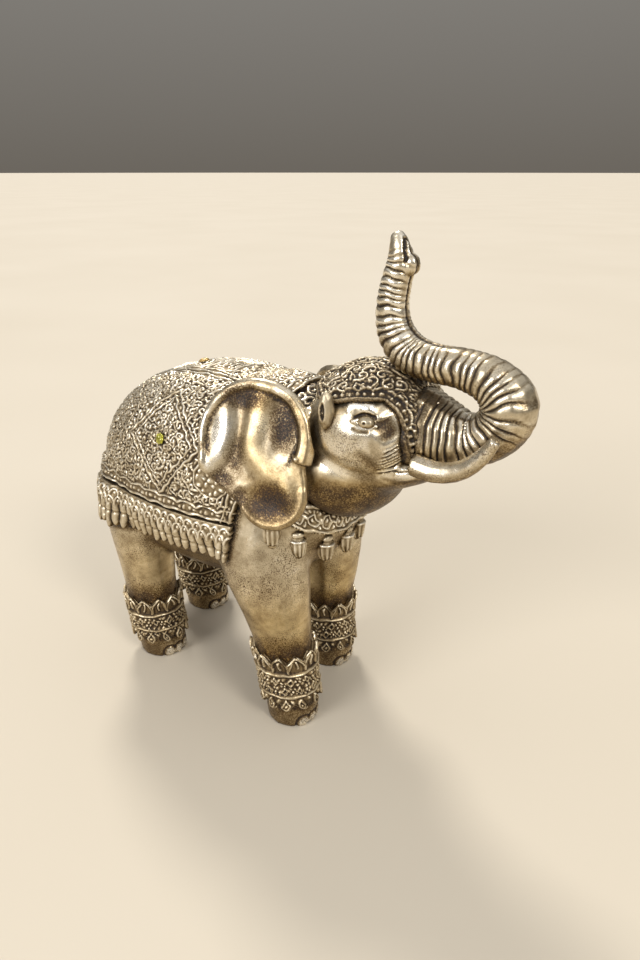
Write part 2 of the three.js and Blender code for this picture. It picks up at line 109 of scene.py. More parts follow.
class Chart:
    """A height map, in millimetres, over a flat chart on which ornament is drawn line by line."""

    PITCH = 0.16

    def __init__(self, low, high):
        self.low = array(low)
        size = np.ceil((array(high) - self.low) / self.PITCH).astype(int) + 1
        self.height = np.zeros(size)
        self.u = self.low[0] + self.PITCH * np.arange(size[0])
        self.v = self.low[1] + self.PITCH * np.arange(size[1])

    def _window(self, low, high):
        i0, j0 = np.maximum(((low - self.low) / self.PITCH).astype(int), 0)
        i1, j1 = np.minimum(((high - self.low) / self.PITCH).astype(int) + 2, self.height.shape)
        return slice(i0, i1), slice(j0, j1)

    def distance(self, path, reach):
        """The window round a path and the distance of each of its points from that path."""
        path = array(path)
        si, sj = self._window(path.min(axis=0) - reach, path.max(axis=0) + reach)
        u, v = self.u[si][:, None], self.v[sj][None]
        best = np.full((u.shape[0], v.shape[1]), reach * reach * 4)
        for a, b in zip(path[:-1], path[1:]):
            wi, wj = self._window(np.minimum(a, b) - reach, np.maximum(a, b) + reach)
            if wi.start >= wi.stop or wj.start >= wj.stop:
                continue
            uu, vv = self.u[wi][:, None] - a[0], self.v[wj][None] - a[1]
            d = b - a
            length2 = max(d @ d, 1e-9)
            t = np.clip((uu * d[0] + vv * d[1]) / length2, 0, 1)
            sq = (uu - t * d[0]) ** 2 + (vv - t * d[1]) ** 2
            li = slice(wi.start - si.start, wi.stop - si.start)
            lj = slice(wj.start - sj.start, wj.stop - sj.start)
            best[li, lj] = np.minimum(best[li, lj], sq)
        return (si, sj), np.sqrt(best)

    def raise_line(self, path, width, height):
        window, d = self.distance(path, width / 2)
        self.height[window] = np.maximum(self.height[window], height * bump(d, width / 2))

    def carve_line(self, path, width, depth):
        window, d = self.distance(path, width / 2)
        self.height[window] -= depth * bump(d, width / 2)

    def swell_line(self, path, width, height):
        self.carve_line(path, width, -height)

    def bead(self, centre, radius, height):
        c = array(centre)
        window = self._window(c - radius, c + radius)
        d = np.hypot(self.u[window[0]][:, None] - c[0], self.v[window[1]][None] - c[1])
        self.height[window] = np.maximum(self.height[window], height * bump(d, radius))

    def cut(self, inside, depth):
        """Sinks the chart by depth wherever inside(u, v) is 0."""
        keep = inside(self.u[:, None], self.v[None])
        self.height = keep * self.height - (1 - keep) * depth

    def sample(self, u, v):
        i = np.clip((u - self.low[0]) / self.PITCH, 0, self.height.shape[0] - 1.001)
        j = np.clip((v - self.low[1]) / self.PITCH, 0, self.height.shape[1] - 1.001)
        i0, j0 = i.astype(int), j.astype(int)
        a, b = i - i0, j - j0
        h = self.height
        return ((1 - a) * (1 - b) * h[i0, j0] + a * (1 - b) * h[i0 + 1, j0]
                + (1 - a) * b * h[i0, j0 + 1] + a * b * h[i0 + 1, j0 + 1])


def filigree(chart, low, high, allowed, spacing, radius, width, height, rng):
    """Fills the part of a chart where allowed(u, v) holds with small scrolls and beads."""
    rows = int((high[1] - low[1]) / (spacing * 0.87)) + 1
    columns = int((high[0] - low[0]) / spacing) + 1
    for j in range(rows):
        for i in range(columns):
            centre = array([low[0] + (i + 0.5 * (j % 2)) * spacing, low[1] + j * spacing * 0.87])
            centre += rng.uniform(-0.22, 0.22, 2) * spacing
            start, hand = rng.uniform(0, 2 * math.pi), rng.choice([-1, 1])
            turns = rng.uniform(0.75, 1.25)
            if not allowed(*centre):
                continue
            chart.raise_line(spiral(centre, radius, turns, start, hand, 0.12, radius * 0.5), width, height)
            side = centre + spacing * 0.56 * array([math.cos(start), math.sin(start)])
            if allowed(*side):
                chart.bead(side, width * 0.62, height * 0.9)


def fill_gaps(chart, low, high, allowed, count, width, height, rng):
    """Drops short leaves of random length and direction into whatever is still bare."""
    places = rng.uniform(low, high, (count, 2))
    turns = rng.uniform(0, math.pi, count)
    lengths = rng.uniform(0.3, 1.1, count)
    for place, turn, length in zip(places, turns, lengths):
        if allowed(*place) and chart.sample(*place) < 0.12:
            step = length * array([math.cos(turn), math.sin(turn)])
            chart.raise_line([place - step, place + step], width, height * (0.7 + 0.3 * length))


# Sculpted skins: a fine copy of a CAD node that is smoothed and then given its relief.

def neighbour_mean(values, edges, degree):
    """The mean of each vertex's neighbours."""
    out = np.empty_like(values)
    for k in range(values.shape[1]):
        column = values[:, k]
        total = np.bincount(edges[:, 0], column[edges[:, 1]], len(values))
        total += np.bincount(edges[:, 1], column[edges[:, 0]], len(values))
        out[:, k] = total / degree
    return out


UNDER_SHADE = 0.45
UNDER_WARM_REFLECTION = 0.85
TREES = {}


def solid_tree(node):
    """A CAD solid that distances can be measured to."""
    if node not in TREES:
        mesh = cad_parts[node].data
        TREES[node] = BVHTree.FromPolygons([v.co for v in mesh.vertices],
                                           [tuple(f.vertices) for f in mesh.polygons])
    return TREES[node]


class Sculpt:
    def __init__(self, node, voxel, passes, swell=0.0):
        self.node = node
        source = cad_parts[node]
        work = bpy.data.objects.new(node + "_work", source.data.copy())
        bpy.context.scene.collection.objects.link(work)
        skin = work.modifiers.new("skin", "REMESH")
        skin.mode = "VOXEL"
        skin.voxel_size = voxel * MM
        evaluated = work.evaluated_get(bpy.context.evaluated_depsgraph_get())
        self.mesh = bpy.data.meshes.new_from_object(evaluated)
        bpy.data.objects.remove(work)
        count = len(self.mesh.vertices)
        flat = np.empty(count * 3)
        self.mesh.vertices.foreach_get("co", flat)
        self.points = flat.reshape(-1, 3) / MM
        pairs = np.empty(len(self.mesh.edges) * 2, dtype=np.int32)
        self.mesh.edges.foreach_get("vertices", pairs)
        self.edges = pairs.reshape(-1, 2)
        self.degree = np.maximum(np.bincount(self.edges.ravel(), minlength=count), 1)
        self.points = self.smooth(self.points, passes)
        self.normals = self.find_normals()
        self.offset = np.full(count, float(swell))
        self.shift = np.zeros((count, 3))
        self.wash_and_shade = np.zeros(count)
        self.gilt_and_reflection = np.zeros(count)
        self.polish_and_highlight = np.zeros(count)
        self.fleck = np.zeros(count)

    def smooth(self, values, passes):
        for _ in range(passes):
            values = (values + neighbour_mean(values, self.edges, self.degree)) / 2
        return values

    def fill(self, passes):
        """Fills the creases where blended forms meet and leaves everything that is convex."""
        rise = ((self.smooth(self.points, passes) - self.points) * self.normals).sum(axis=1)
        self.points += self.normals * np.maximum(rise, 0)[:, None]
        self.points = self.smooth(self.points, 6)
        self.normals = self.find_normals()

    def find_normals(self):
        self.mesh.vertices.foreach_set("co", (self.points * MM).ravel())
        self.mesh.update()
        flat = np.empty(len(self.points) * 3)
        self.mesh.vertex_normals.foreach_get("vector", flat)
        return flat.reshape(-1, 3)

    @property
    def folded(self):
        """The points with both flanks on the same side, for ornament that is mirrored."""
        p = self.points.copy()
        p[:, 1] = np.abs(p[:, 1])
        return p

    def near(self, path, reach):
        """The vertices within reach of a path, and how far each one is from it and along it."""
        p = self.folded
        inside = np.all((p > path.min(axis=0) - reach) & (p < path.max(axis=0) + reach), axis=1)
        index = np.flatnonzero(inside)
        best = np.full(len(index), 1e9)
        self.travel = np.zeros(len(index))
        q = p[index]
        length = 0.0
        for a, b in zip(path[:-1], path[1:]):
            d = b - a
            t = np.clip((q - a) @ d / max(d @ d, 1e-9), 0, 1)
            sq = ((q - a - t[:, None] * d) ** 2).sum(axis=1)
            size = np.linalg.norm(d)
            self.travel = np.where(sq < best, length + t * size, self.travel)
            best = np.minimum(best, sq)
            length += size
        return index, np.sqrt(best)

    def stroke(self, path, width, height, taper=0.0, dark=0.0, bright=0.0):
        """Adds a rounded ridge, or a groove if height is negative, along a path on the skin, darkened with dark wash
        and painted shade and brightened with a painted highlight where asked.
        """
        path = self.snapped(spline(path, 0.8))
        index, d = self.near(path, width / 2)
        shape = bump(d, width / 2)
        if taper:
            total = np.linalg.norm(np.diff(path, axis=0), axis=1).sum()
            shape *= fade(self.travel, 0, taper) * fade(total - self.travel, 0, taper)
        self.offset[index] += height * shape
        self.wash_and_shade[index] = np.maximum(self.wash_and_shade[index], dark * shape)
        self.polish_and_highlight[index] += bright * shape
        return index, shape

    def snapped(self, path):
        p = self.folded
        low, high = path.min(axis=0) - 6, path.max(axis=0) + 6
        index = np.flatnonzero(np.all((p > low) & (p < high), axis=1))
        if not len(index):
            return path
        q = p[index]
        return array([q[np.argmin(((q - a) ** 2).sum(axis=1))] for a in path])

    def touch(self, nodes, reach, strength=1.0):
        """Paints shade where other pieces meet this one."""
        for node in nodes:
            low, high = box_mm(node)
            tree = solid_tree(node)
            inside = np.all((self.points > low - reach) & (self.points < high + reach), axis=1)
            for i in np.flatnonzero(inside):
                distance = tree.find_nearest(Vector(self.points[i] * MM))[3] / MM
                if distance < reach:
                    t = distance / reach
                    self.wash_and_shade[i] = max(self.wash_and_shade[i], strength * (1 - t) ** 2)

    def finish(self, name, material, slot, cavity=0.35, spread=10, *replaced):
        # Downward-facing surfaces get painted shade and a painted warm reflection.
        under = fade(-self.normals[:, 2], 0.0, 0.8)
        self.wash_and_shade = np.maximum(self.wash_and_shade, UNDER_SHADE * under)
        self.gilt_and_reflection = np.maximum(self.gilt_and_reflection, UNDER_WARM_REFLECTION * under)
        relief = self.offset[:, None]
        mean = self.smooth(relief, spread)
        wear = np.clip((relief - mean)[:, 0] / cavity, -1, 1)
        moved = self.points + self.normals * relief + self.shift
        moved[:, 2] = np.maximum(moved[:, 2], 0)
        self.mesh.vertices.foreach_set("co", (moved * MM).ravel())
        for label, values in (("wear", wear), ("wash_and_shade", self.wash_and_shade), ("gilt_and_reflection", self.gilt_and_reflection),
                              ("polish_and_highlight", self.polish_and_highlight), ("fleck", self.fleck)):
            layer = self.mesh.attributes.new(label, "FLOAT", "POINT")
            layer.data.foreach_set("value", values.astype(np.float32))
        self.mesh.polygons.foreach_set("use_smooth", np.ones(len(self.mesh.polygons), dtype=bool))
        self.mesh.materials.clear()
        self.mesh.materials.append(material)
        self.mesh.update()
        piece = bpy.data.objects.new(name, self.mesh)
        bpy.context.scene.collection.objects.link(piece)
        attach(piece, "root")
        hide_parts(*(replaced or (self.node,)))
        return piece


# Materials.

class Nodes:
    """Builds a node tree with short calls."""

    def __init__(self, name):
        self.material = bpy.data.materials.new(name)
        self.material.use_nodes = True
        self.tree = self.material.node_tree
        self.shader = self.tree.nodes["Principled BSDF"]

    def add(self, kind, inputs=(), **settings):
        node = self.tree.nodes.new(kind)
        for key, value in settings.items():
            setattr(node, key, value)
        for key, value in dict(inputs).items():
            if isinstance(value, bpy.types.NodeSocket):
                self.tree.links.new(value, node.inputs[key])
            else:
                node.inputs[key].default_value = value
        return node

    def attribute(self, name):
        return self.add("ShaderNodeAttribute", attribute_name=name).outputs["Fac"]

    def noise(self, scale, detail=3.0, roughness=0.55, place=None):
        if place is None:
            place = self.add("ShaderNodeTexCoord").outputs["Object"]
        node = self.add("ShaderNodeTexNoise",
                        {"Vector": place, "Scale": scale, "Detail": detail, "Roughness": roughness})
        return node.outputs["Fac"]

    def math(self, operation, a, b, clamp=False):
        return self.add("ShaderNodeMath", {0: a, 1: b}, operation=operation, use_clamp=clamp).outputs[0]

    def range(self, value, low, high, to_low=0.0, to_high=1.0):
        return self.add("ShaderNodeMapRange",
                        {"Value": value, "From Min": low, "From Max": high,
                         "To Min": to_low, "To Max": to_high}).outputs["Result"]

    def ramp(self, value, stops):
        node = self.add("ShaderNodeValToRGB", {"Fac": value})
        elements = node.color_ramp.elements
        while len(elements) < len(stops):
            elements.new(0.5)
        for element, (position, colour) in zip(elements, stops):
            element.position = position
            element.color = (*colour, 1)
        return node.outputs["Color"]

    def mix(self, factor, a, b, blend="MIX"):
        node = self.add("ShaderNodeMix", {"Factor": factor}, data_type="RGBA", blend_type=blend)
        for index, value in ((6, a), (7, b)):
            if isinstance(value, bpy.types.NodeSocket):
                self.tree.links.new(value, node.inputs[index])
            else:
                node.inputs[index].default_value = (*value, 1)
        return node.outputs[2]

    def set(self, **inputs):
        for key, value in inputs.items():
            socket = self.shader.inputs[key.replace("_", " ")]
            if isinstance(value, bpy.types.NodeSocket):
                self.tree.links.new(value, socket)
            else:
                socket.default_value = value


PATINA = [(0.0, (0.010, 0.006, 0.004)), (0.24, (0.055, 0.036, 0.019)), (0.50, (0.26, 0.197, 0.115)),
          (0.76, (0.60, 0.515, 0.37)), (1.0, (0.91, 0.85, 0.73))]
GILT_AND_REFLECTION = [(0.0, (0.012, 0.006, 0.003)), (0.30, (0.10, 0.055, 0.020)), (0.62, (0.43, 0.30, 0.125)),
        (1.0, (0.88, 0.72, 0.42))]
STAIN = (0.075, 0.038, 0.016)


def antique(name, level, contrast, stain, flecks, roughness, mottle=1.0):
    """Champagne silver paint over dark wash: bright where it is rubbed, dark in every recess, with painted
    highlights, painted shade and a painted warm reflection laid on from the skin's attributes.
    """
    n = Nodes(name)
    broad = n.noise(65, 3)
    patch = n.noise(150, 4, 0.6)
    fine = n.noise(650, 4, 0.65)
    grain = n.noise(2600, 3, 0.6)
    smudge = n.range(n.math("ADD", n.math("MULTIPLY", broad, 0.7), n.math("MULTIPLY", fine, 0.3)), 0.46, 0.66)
    tone = n.add("ShaderNodeMath", {0: n.attribute("wear"), 1: contrast, 2: level},
                 operation="MULTIPLY_ADD").outputs[0]
    tone = n.math("ADD", tone, n.range(patch, 0.3, 0.7, -0.12 * mottle, 0.12 * mottle))
    tone = n.math("ADD", tone, n.range(broad, 0.35, 0.65, -0.07 * mottle, 0.07 * mottle))
    tone = n.math("ADD", tone, n.range(fine, 0.3, 0.7, -0.06, 0.06))
    tone = n.math("SUBTRACT", tone, n.math("MULTIPLY", smudge, stain * 0.45))
    # Painted highlights, with some rubbed bright metal, laid on from the skin's attribute.
    tone = n.math("ADD", tone, n.math("MULTIPLY", n.attribute("polish_and_highlight"), 0.32))
    # Darkening from the skin's attribute: dark wash in the recesses and painted shade under and between the pieces,
    # broken up by specks.
    specks = n.range(n.noise(1700, 4, 0.7), 0.36, 0.64, 0.35, 1.65)
    wash_and_shade = n.math("MULTIPLY", n.attribute("wash_and_shade"), specks)
    tone = n.math("SUBTRACT", tone, n.math("MULTIPLY", wash_and_shade, 0.8), True)
    # Gold tone from the skin's attribute: partly gilt, partly a painted warm reflection on the undersides.
    gilt_and_reflection = n.math("MULTIPLY", n.attribute("gilt_and_reflection"), n.range(patch, 0.3, 0.7, 0.6, 1.1), True)
    colour = n.mix(gilt_and_reflection, n.ramp(tone, PATINA), n.ramp(tone, GILT_AND_REFLECTION))
    dots = n.range(n.noise(2300, 3, 0.6), 0.51, 0.58)
    dots = n.math("MULTIPLY", dots, n.range(n.math("ADD", smudge, n.attribute("fleck")), 0.1, 1.0, 0.0, flecks), True)
    colour = n.mix(dots, colour, STAIN)
    n.set(Base_Color=colour,
          Metallic=n.range(tone, 0.05, 0.40, 0.35, 0.97),
          Roughness=n.math("ADD", n.range(tone, 0.1, 0.9, roughness + 0.24, roughness),
                           n.range(fine, 0.3, 0.7, -0.04, 0.06)))
    relief = n.math("ADD", n.math("MULTIPLY", fine, 0.6), n.math("MULTIPLY", grain, 0.4))
    knock = n.add("ShaderNodeBump", {"Height": relief, "Strength": 0.30, "Distance": 0.00022})
    n.set(Normal=knock.outputs["Normal"])
    return n.material


def jewel(name, deep, light):
    n = Nodes(name)
    cloud = n.noise(420, 3)
    n.set(Base_Color=n.ramp(cloud, [(0.35, deep), (0.65, light)]),
          Roughness=n.range(n.noise(900, 2), 0.3, 0.7, 0.10, 0.2))
    n.shader.inputs["Metallic"].default_value = 0.35
    n.shader.inputs["Coat Weight"].default_value = 0.6
    return n.material


SMOOTH = antique("antique_silver_skin", 0.74, 0.55, 0.36, 0.80, 0.25, 1.2)
CARVED = antique("antique_silver_carving", 0.60, 0.50, 0.30, 0.20, 0.38)
LEG = antique("antique_silver_leg", 0.76, 0.45, 0.48, 0.95, 0.25, 1.15)
GREEN = jewel("green_stone", (0.22, 0.20, 0.01), (0.60, 0.56, 0.05))
AMBER = jewel("gold_stone", (0.30, 0.17, 0.03), (0.75, 0.50, 0.13))


# The skull, its features and what is set on it. All places are in millimetres in the frame.

SHELL_PARTS = ("saddle_blanket", "headpiece", "collar", "right_fringe", "left_fringe", "rear_fringe")
EARS = ("right_ear", "left_ear")
TUSKS = ("right_tusk", "left_tusk")
ANKLETS = ("front_right_anklet", "front_left_anklet", "rear_right_anklet", "rear_left_anklet")


def around(centre, path):
    return array(centre) + array(path)


EYE_SCALE = 0.78


def make_head():
    s = Sculpt("head_casting", 0.45, 26, 0.25)
    s.fill(160)
    eye = centre_mm("right_eye")
    eye[1] = abs(eye[1])

    def lid(path):
        return around(eye, EYE_SCALE * array(path))

    s.stroke(lid([(-4.9, 1.4, -0.5), (-3.2, 1.0, 1.0), (-0.9, 0.3, 1.7), (1.5, -0.6, 1.2),
                  (3.4, -1.2, -0.3), (4.3, -1.2, -1.3)]), 1.5, 0.65)
    s.stroke(lid([(-4.9, 1.4, -0.5), (-2.8, 1.8, -1.8), (-0.3, 1.6, -2.2), (2.2, 0.8, -1.9),
                  (4.3, -1.2, -1.3)]), 1.3, 0.45)
    s.stroke(lid([(-5.4, 1.4, 0.9), (-3.2, 0.8, 2.5), (-0.8, 0.2, 3.1), (1.8, -1.0, 2.8), (4.6, -2, 0.9)]),
             1.5, -0.6, 1.0, 0.5)
    s.stroke(lid([(-4.8, 2.4, -3.0), (-1, 2.2, -4.0), (2.8, 1.0, -3.4)]), 1.7, -0.35, 1.0, 0.35)
    # The brow ridge over the eye, with a painted highlight on it.
    s.stroke(around(eye, [(-8.4, 0.6, 2.2), (-5, -0.4, 4.2), (-1, -1.2, 4.9), (3.4, -2.4, 4.2)]),
             6.2, 1.1, 3.5, 0.0, 0.55)
    # Hollow before the eye, darkened with painted shade, the bundle of wrinkles behind the tusk, and the corner of
    # the mouth.
    index, shape = s.stroke(around(eye, [(3.4, -1.8, 2.2), (6.2, -2.2, -1.6), (9.0, -3, -5.6)]),
                            10.0, -1.0, 3.0, 0.55)
    s.fleck[index] = np.maximum(s.fleck[index], shape)
    for k in range(7):
        lift = 1.6 * k
        wrinkle = around(eye, [(5.0 - 0.4 * k, -0.8, -9.4 - lift), (8.4, -2.8, -7.8 - 0.97 * lift),
                               (12.4, -4.8, -6.4 - 0.92 * lift), (17.4, -6.4, -6.2 - 0.84 * lift)])
        s.stroke(wrinkle, 1.4, 0.36, 3.0, 0.0, 0.3)
        s.stroke(wrinkle + array([0, 0, -0.8]), 1.1, -0.5, 3.0, 0.45)
    s.stroke(around(eye, [(2.6, -2, -18.8), (6.8, -5.6, -21.2), (10.2, -7.2, -21.8), (14, -7.6, -21.2),
                          (18, -7.6, -20.2)]), 3.0, -0.22, 5.0, 0.22)
    s.stroke(around(eye, [(8.0, -4.4, -16.4), (12.5, -5.4, -17), (17.5, -6.4, -16.6)]), 7.5, 0.7, 4.0, 0.0, 0.6)
    s.stroke(around(eye, [(-4, 1, -8.6), (0.4, 0.4, -11), (3.0, -1.4, -15), (5, -3, -19)]), 6.0, -0.5, 4.0, 0.25)
    # A broad painted highlight on the cheek.
    index, d = s.near(s.snapped(spline(around(eye, [(-9, 1, -13.5), (-5, 1, -16)]))), 9)
    s.polish_and_highlight[index] += 0.9 * bump(d, 9)
    # A painted highlight over the whole head above the jaw line.
    s.polish_and_highlight += 0.25 * fade(s.points[:, 2], 112, 117)
    index, d = s.near(s.snapped(spline(around(eye, [(-7, 1, -6), (-3, 1, -8)]))), 8)
    s.fleck[index] = np.maximum(s.fleck[index], 0.35 * bump(d, 8))
    # The jaw below the cheek gets a painted warm reflection and painted shade; the specks there are the paint's own.
    height = s.points[:, 2]
    s.gilt_and_reflection = 0.9 * fade(height, 117, 110)
    s.wash_and_shade = np.maximum(s.wash_and_shade, 0.52 * fade(height, 115, 106))
    s.fleck = np.maximum(s.fleck, 0.5 * fade(height, 108, 98))
    s.touch(EARS, 4.0, 1.0)
    s.touch(TUSKS + ("trunk",), 2.6, 1.0)
    s.touch(("headpiece", "right_temple_drop", "left_temple_drop"), 1.8, 0.9)
    s.finish("head_skin", SMOOTH, "antique_silver_smooth", 0.42, 14)


def make_eye(node):
    s = Sculpt(node, 0.2, 4, 0.25)
    c = centre_mm(node)
    p = s.points - c
    side = np.sign(c[1])
    pupil = np.linalg.norm(p - array([0.6, side * 2.2, 0.2]), axis=1)
    s.offset -= 0.35 * bump(pupil, 0.8)
    s.wash_and_shade = np.maximum(s.wash_and_shade, 0.7 * bump(pupil, 0.8))
    s.touch(("head_casting",), 0.9, 0.8)
    s.finish(node + "_ball", SMOOTH, "antique_silver_smooth", 0.3, 10)


TRUNK_LINE = [(54.7, 128.4), (60.7, 127.9), (66.7, 127.7), (71.7, 128), (77.3, 129.6), (83.5, 135.2),
              (85.1, 142.4), (79.7, 148.4), (69.7, 151.2), (58.7, 151.6), (49.7, 153.8), (44.1, 160.2),
              (42.7, 168), (43.7, 175.5), (45.1, 182), (44.3, 187), (43.1, 190.4)]
RING = 2.75


def along(points, line):
    """How far along a line in the XZ plane each point is, its offset from it, and the line's left."""
    steps = np.linalg.norm(np.diff(line, axis=0), axis=1)
    length = np.concatenate([[0], np.cumsum(steps)])
    flat = points[:, [0, 2]]
    nearest = np.empty(len(flat), dtype=int)
    for start in range(0, len(flat), 20000):
        block = flat[start:start + 20000]
        sq = ((block[:, None] - line[None]) ** 2).sum(axis=2)
        nearest[start:start + 20000] = sq.argmin(axis=1)
    tangent = np.gradient(line, axis=0)
    tangent /= np.linalg.norm(tangent, axis=1)[:, None]
    t = tangent[nearest]
    delta = flat - line[nearest]
    s = length[nearest] + (delta * t).sum(axis=1)
    left = delta[:, 1] * t[:, 0] - delta[:, 0] * t[:, 1]
    return s, left, length[-1]


def make_trunk():
    s = Sculpt("trunk", 0.36, 16, 0.15)
    line = spline(TRUNK_LINE, 0.3)
    length_on, left, total = along(s.points, line)
    side = s.points[:, 1]
    turn = np.arctan2(np.abs(side), left)
    share = np.clip(length_on / total, 0, 1)
    # Ring spacing shrinks from the root to the tip, and the rings wander and fork a little.
    wander = 0.16 * np.sin(turn * 2.2 + 0.9) + 0.08 * np.sin(turn * 5 + length_on * 0.35)
    wander += 0.22 * np.sign(side) * np.sin(length_on * 0.21) + 0.20 * np.sin(length_on * 0.57)
    place = length_on / RING + 3.5 * share ** 2 + wander
    which = np.round(place)
    apart = np.abs(place - which) * 2
    strength = 0.72 + 0.28 * np.sin(which * 2.4 + turn * 1.7)
    crown = 0.30 * fade(share, 0.12, 0.30)
    back_band = 0.35 + 0.65 * fade(turn, crown, crown + 0.5)
    front_band = 1 - 0.72 * fade(turn, 1.9, 2.8) * fade(share, 0.12, 0.2)
    ends = fade(share, 0.015, 0.04) * (1 - 0.9 * fade(share, 0.90, 0.97))
    groove = bump(1 - apart, 0.50) * back_band * front_band * ends * strength
    s.offset += 0.10 * np.cos(math.pi * apart) * back_band * front_band * ends - 0.62 * groove
    s.offset += 0.3
    s.wash_and_shade = np.maximum(s.wash_and_shade, 0.75 * groove)
    # Groove along the open side of the upper trunk, and the two-lobed tip.
    belly = bump(np.abs(turn - math.pi), 0.28) * fade(share, 0.45, 0.6) * (1 - fade(share, 0.93, 0.98))
    s.offset -= 0.8 * belly
    s.wash_and_shade = np.maximum(s.wash_and_shade, 0.7 * belly)
    slit = s.near(s.snapped(spline([(45.9, 0.4, 188.6), (46.7, 1.4, 185.4), (47.5, 1.6, 182.6)])), 1.0)
    s.offset[slit[0]] -= 0.9 * bump(slit[1], 1.0)
    s.wash_and_shade[slit[0]] = np.maximum(s.wash_and_shade[slit[0]], bump(slit[1], 1.0))
    s.polish_and_highlight += 0.35 * fade(share, 0.5, 0.75)
    # Painted shade at the root of the trunk.
    s.wash_and_shade = np.maximum(s.wash_and_shade, 0.4 * (1 - fade(share, 0.02, 0.12)))
    s.touch(("head_casting", "headpiece"), 2.6, 1.0)
    s.touch(TUSKS, 2.2, 1.0)
    s.finish("trunk_skin", SMOOTH, "antique_silver_smooth", 0.40, 8)


def make_tusk(node):
    s = Sculpt(node, 0.3, 12, 0.12)
    s.polish_and_highlight += 0.3
    s.fleck += 0.35
    s.touch(("head_casting", "headpiece"), 3.8, 1.0)
    s.touch(("trunk",), 1.4, 0.6)
    s.finish(node + "_horn", SMOOTH, "antique_silver_smooth", 0.35, 10)


EAR_CORNER = (27.58, 18, 143)
EAR_U = array([0.958, -0.287, 0])
EAR_V = array([-0.087, -0.289, 0.954])
EAR_OUT = array([0.274, 0.913, 0.301])
EAR_UPPER, EAR_UPPER_RADIUS = array([-22, -21]), 21.2
EAR_LOWER, EAR_LOWER_RADIUS = array([-14.4, -38.2]), 13
EAR_RIM, EAR_FRONT_RIM = 1.8, 3.5
LEFT_EAR_SHIFT = array([-2, 0, -7])
# The dark hollows of the ear's paint: centre, half width, half height and strength.
EAR_HOLLOWS = [((-11.6, -14.5), 7.5, 12, 1.2), ((-27, -6), 14, 7, 0.85), ((-29, -26), 6, 12, 0.5),
               ((-40.5, -25), 5, 2.8, 0.5), ((-33.5, -35.5), 7, 6, 0.75), ((-14, -41.5), 12, 9.5, 0.9),
               ((-26, -41.5), 6, 6, 0.6)]


def make_ear(node):
    s = Sculpt(node, 0.34, 14, 0.1)
    origin = array(EAR_CORNER)
    if node.startswith("left"):
        origin = origin + LEFT_EAR_SHIFT
    p = s.folded - origin
    u, v = p @ EAR_U, p @ EAR_V
    fold = s.normals.copy()
    fold[:, 1] *= np.sign(s.points[:, 1])
    outward = fade(fold @ EAR_OUT, 0.15, 0.6)
    c = Chart((-52, -58), (10, 8))
    ridge = spline([(-20.5, -5), (-22, -14), (-23, -23), (-18.4, -29.9), (-11, -34), (-8.5, -39)], 1.0)
    c.swell_line(ridge, 12, 0.75)
    c.swell_line(spline([(-35, -10), (-33.5, -18), (-35, -25), (-40, -31)], 1.0), 12, 0.9)
    c.carve_line(spline([(-28.4, -8), (-28.6, -19), (-30, -28), (-33, -35)], 1.0), 9, 0.4)
    c.carve_line(spline([(-12.5, -8), (-12, -16), (-12.5, -23)], 1.0), 10, 0.5)
    c.carve_line(spline([(-12, -41), (-15.5, -42.5), (-20, -41)], 1.0), 13, 0.8)
    c.carve_line(spline([(-25.5, -39.5), (-26.5, -43)], 1.0), 6, 0.3)
    lobe = np.linspace(0.05 * math.pi, -0.82 * math.pi, 30)
    edge = EAR_LOWER + (EAR_LOWER_RADIUS - 1.3) * np.stack([np.cos(lobe), np.sin(lobe)], axis=1)
    c.swell_line(edge, 4.6, 0.4)
    c.raise_line([(-7.4, -24.2), (-5.6, -25.2)], 2.0, 0.8)
    s.offset += outward * c.sample(u, v)
    # The paint: a golden ridge, painted highlights over the rear half and along the rolled rim, and dark speckled
    # hollows inside the rolled rim.
    ring = np.hypot(u - EAR_UPPER[0], v - EAR_UPPER[1])
    turn = np.arctan2(v - EAR_UPPER[1], u - EAR_UPPER[0])
    turn = np.where(turn < -math.pi / 2, turn + 2 * math.pi, turn)
    share = np.clip((1.08 - turn / math.pi) / 1.18, 0, 1)
    inner = EAR_UPPER_RADIUS + 0.8 - 2 * (EAR_RIM + (EAR_FRONT_RIM - EAR_RIM) * share ** 2)
    upper = fade(v, -31, -24)

    def blot(centre, reach_u, reach_v):
        return outward * bump(np.hypot((u - centre[0]) / reach_u, (v - centre[1]) / reach_v), 1.0)

    gold = Chart((-52, -58), (10, 8))
    gold.raise_line(ridge, 15, 0.75)
    s.gilt_and_reflection = np.maximum(outward * gold.sample(u, v), blot((-14, -40), 17, 15))
    s.gilt_and_reflection = np.maximum(s.gilt_and_reflection, 0.6 * outward * fade(ring, inner, inner + 1) * fade(share, 0.5, 0.8))
    dark = np.zeros(len(u))
    for centre, reach_u, reach_v, strength in EAR_HOLLOWS:
        dark = np.maximum(dark, strength * blot(centre, reach_u, reach_v))
    s.fleck = np.minimum(1, 1.5 * dark)
    crevice = outward * upper * bump(np.abs(ring - inner + 0.5), 1.7)
    s.wash_and_shade = np.maximum(s.wash_and_shade, np.maximum(0.72 * dark, 0.6 * crevice)) + 0.10
    # Painted highlights: broad ones on the rear half and beside the ridge, thin ones along the rolled rim; the lobe
    # is painted dimmer.
    s.polish_and_highlight += 1.1 * blot((-34.5, -19), 8.5, 12) + 0.8 * blot((-39, -30.5), 5, 5)
    s.polish_and_highlight += 0.5 * blot((-21, -16), 7, 10) - 0.5 * blot((-14, -42), 16, 14)
    s.polish_and_highlight += 0.7 * outward * upper * (bump(np.abs(ring - inner - 1.4), 1.3) + fade(ring, 19.8, 20.8))
    s.touch(("head_casting", "headpiece"), 3.0, 0.95)
    s.touch(("body_casting",), 3.0, 0.6)
    s.finish(node + "_flap", SMOOTH, "antique_silver_smooth", 0.45, 16)


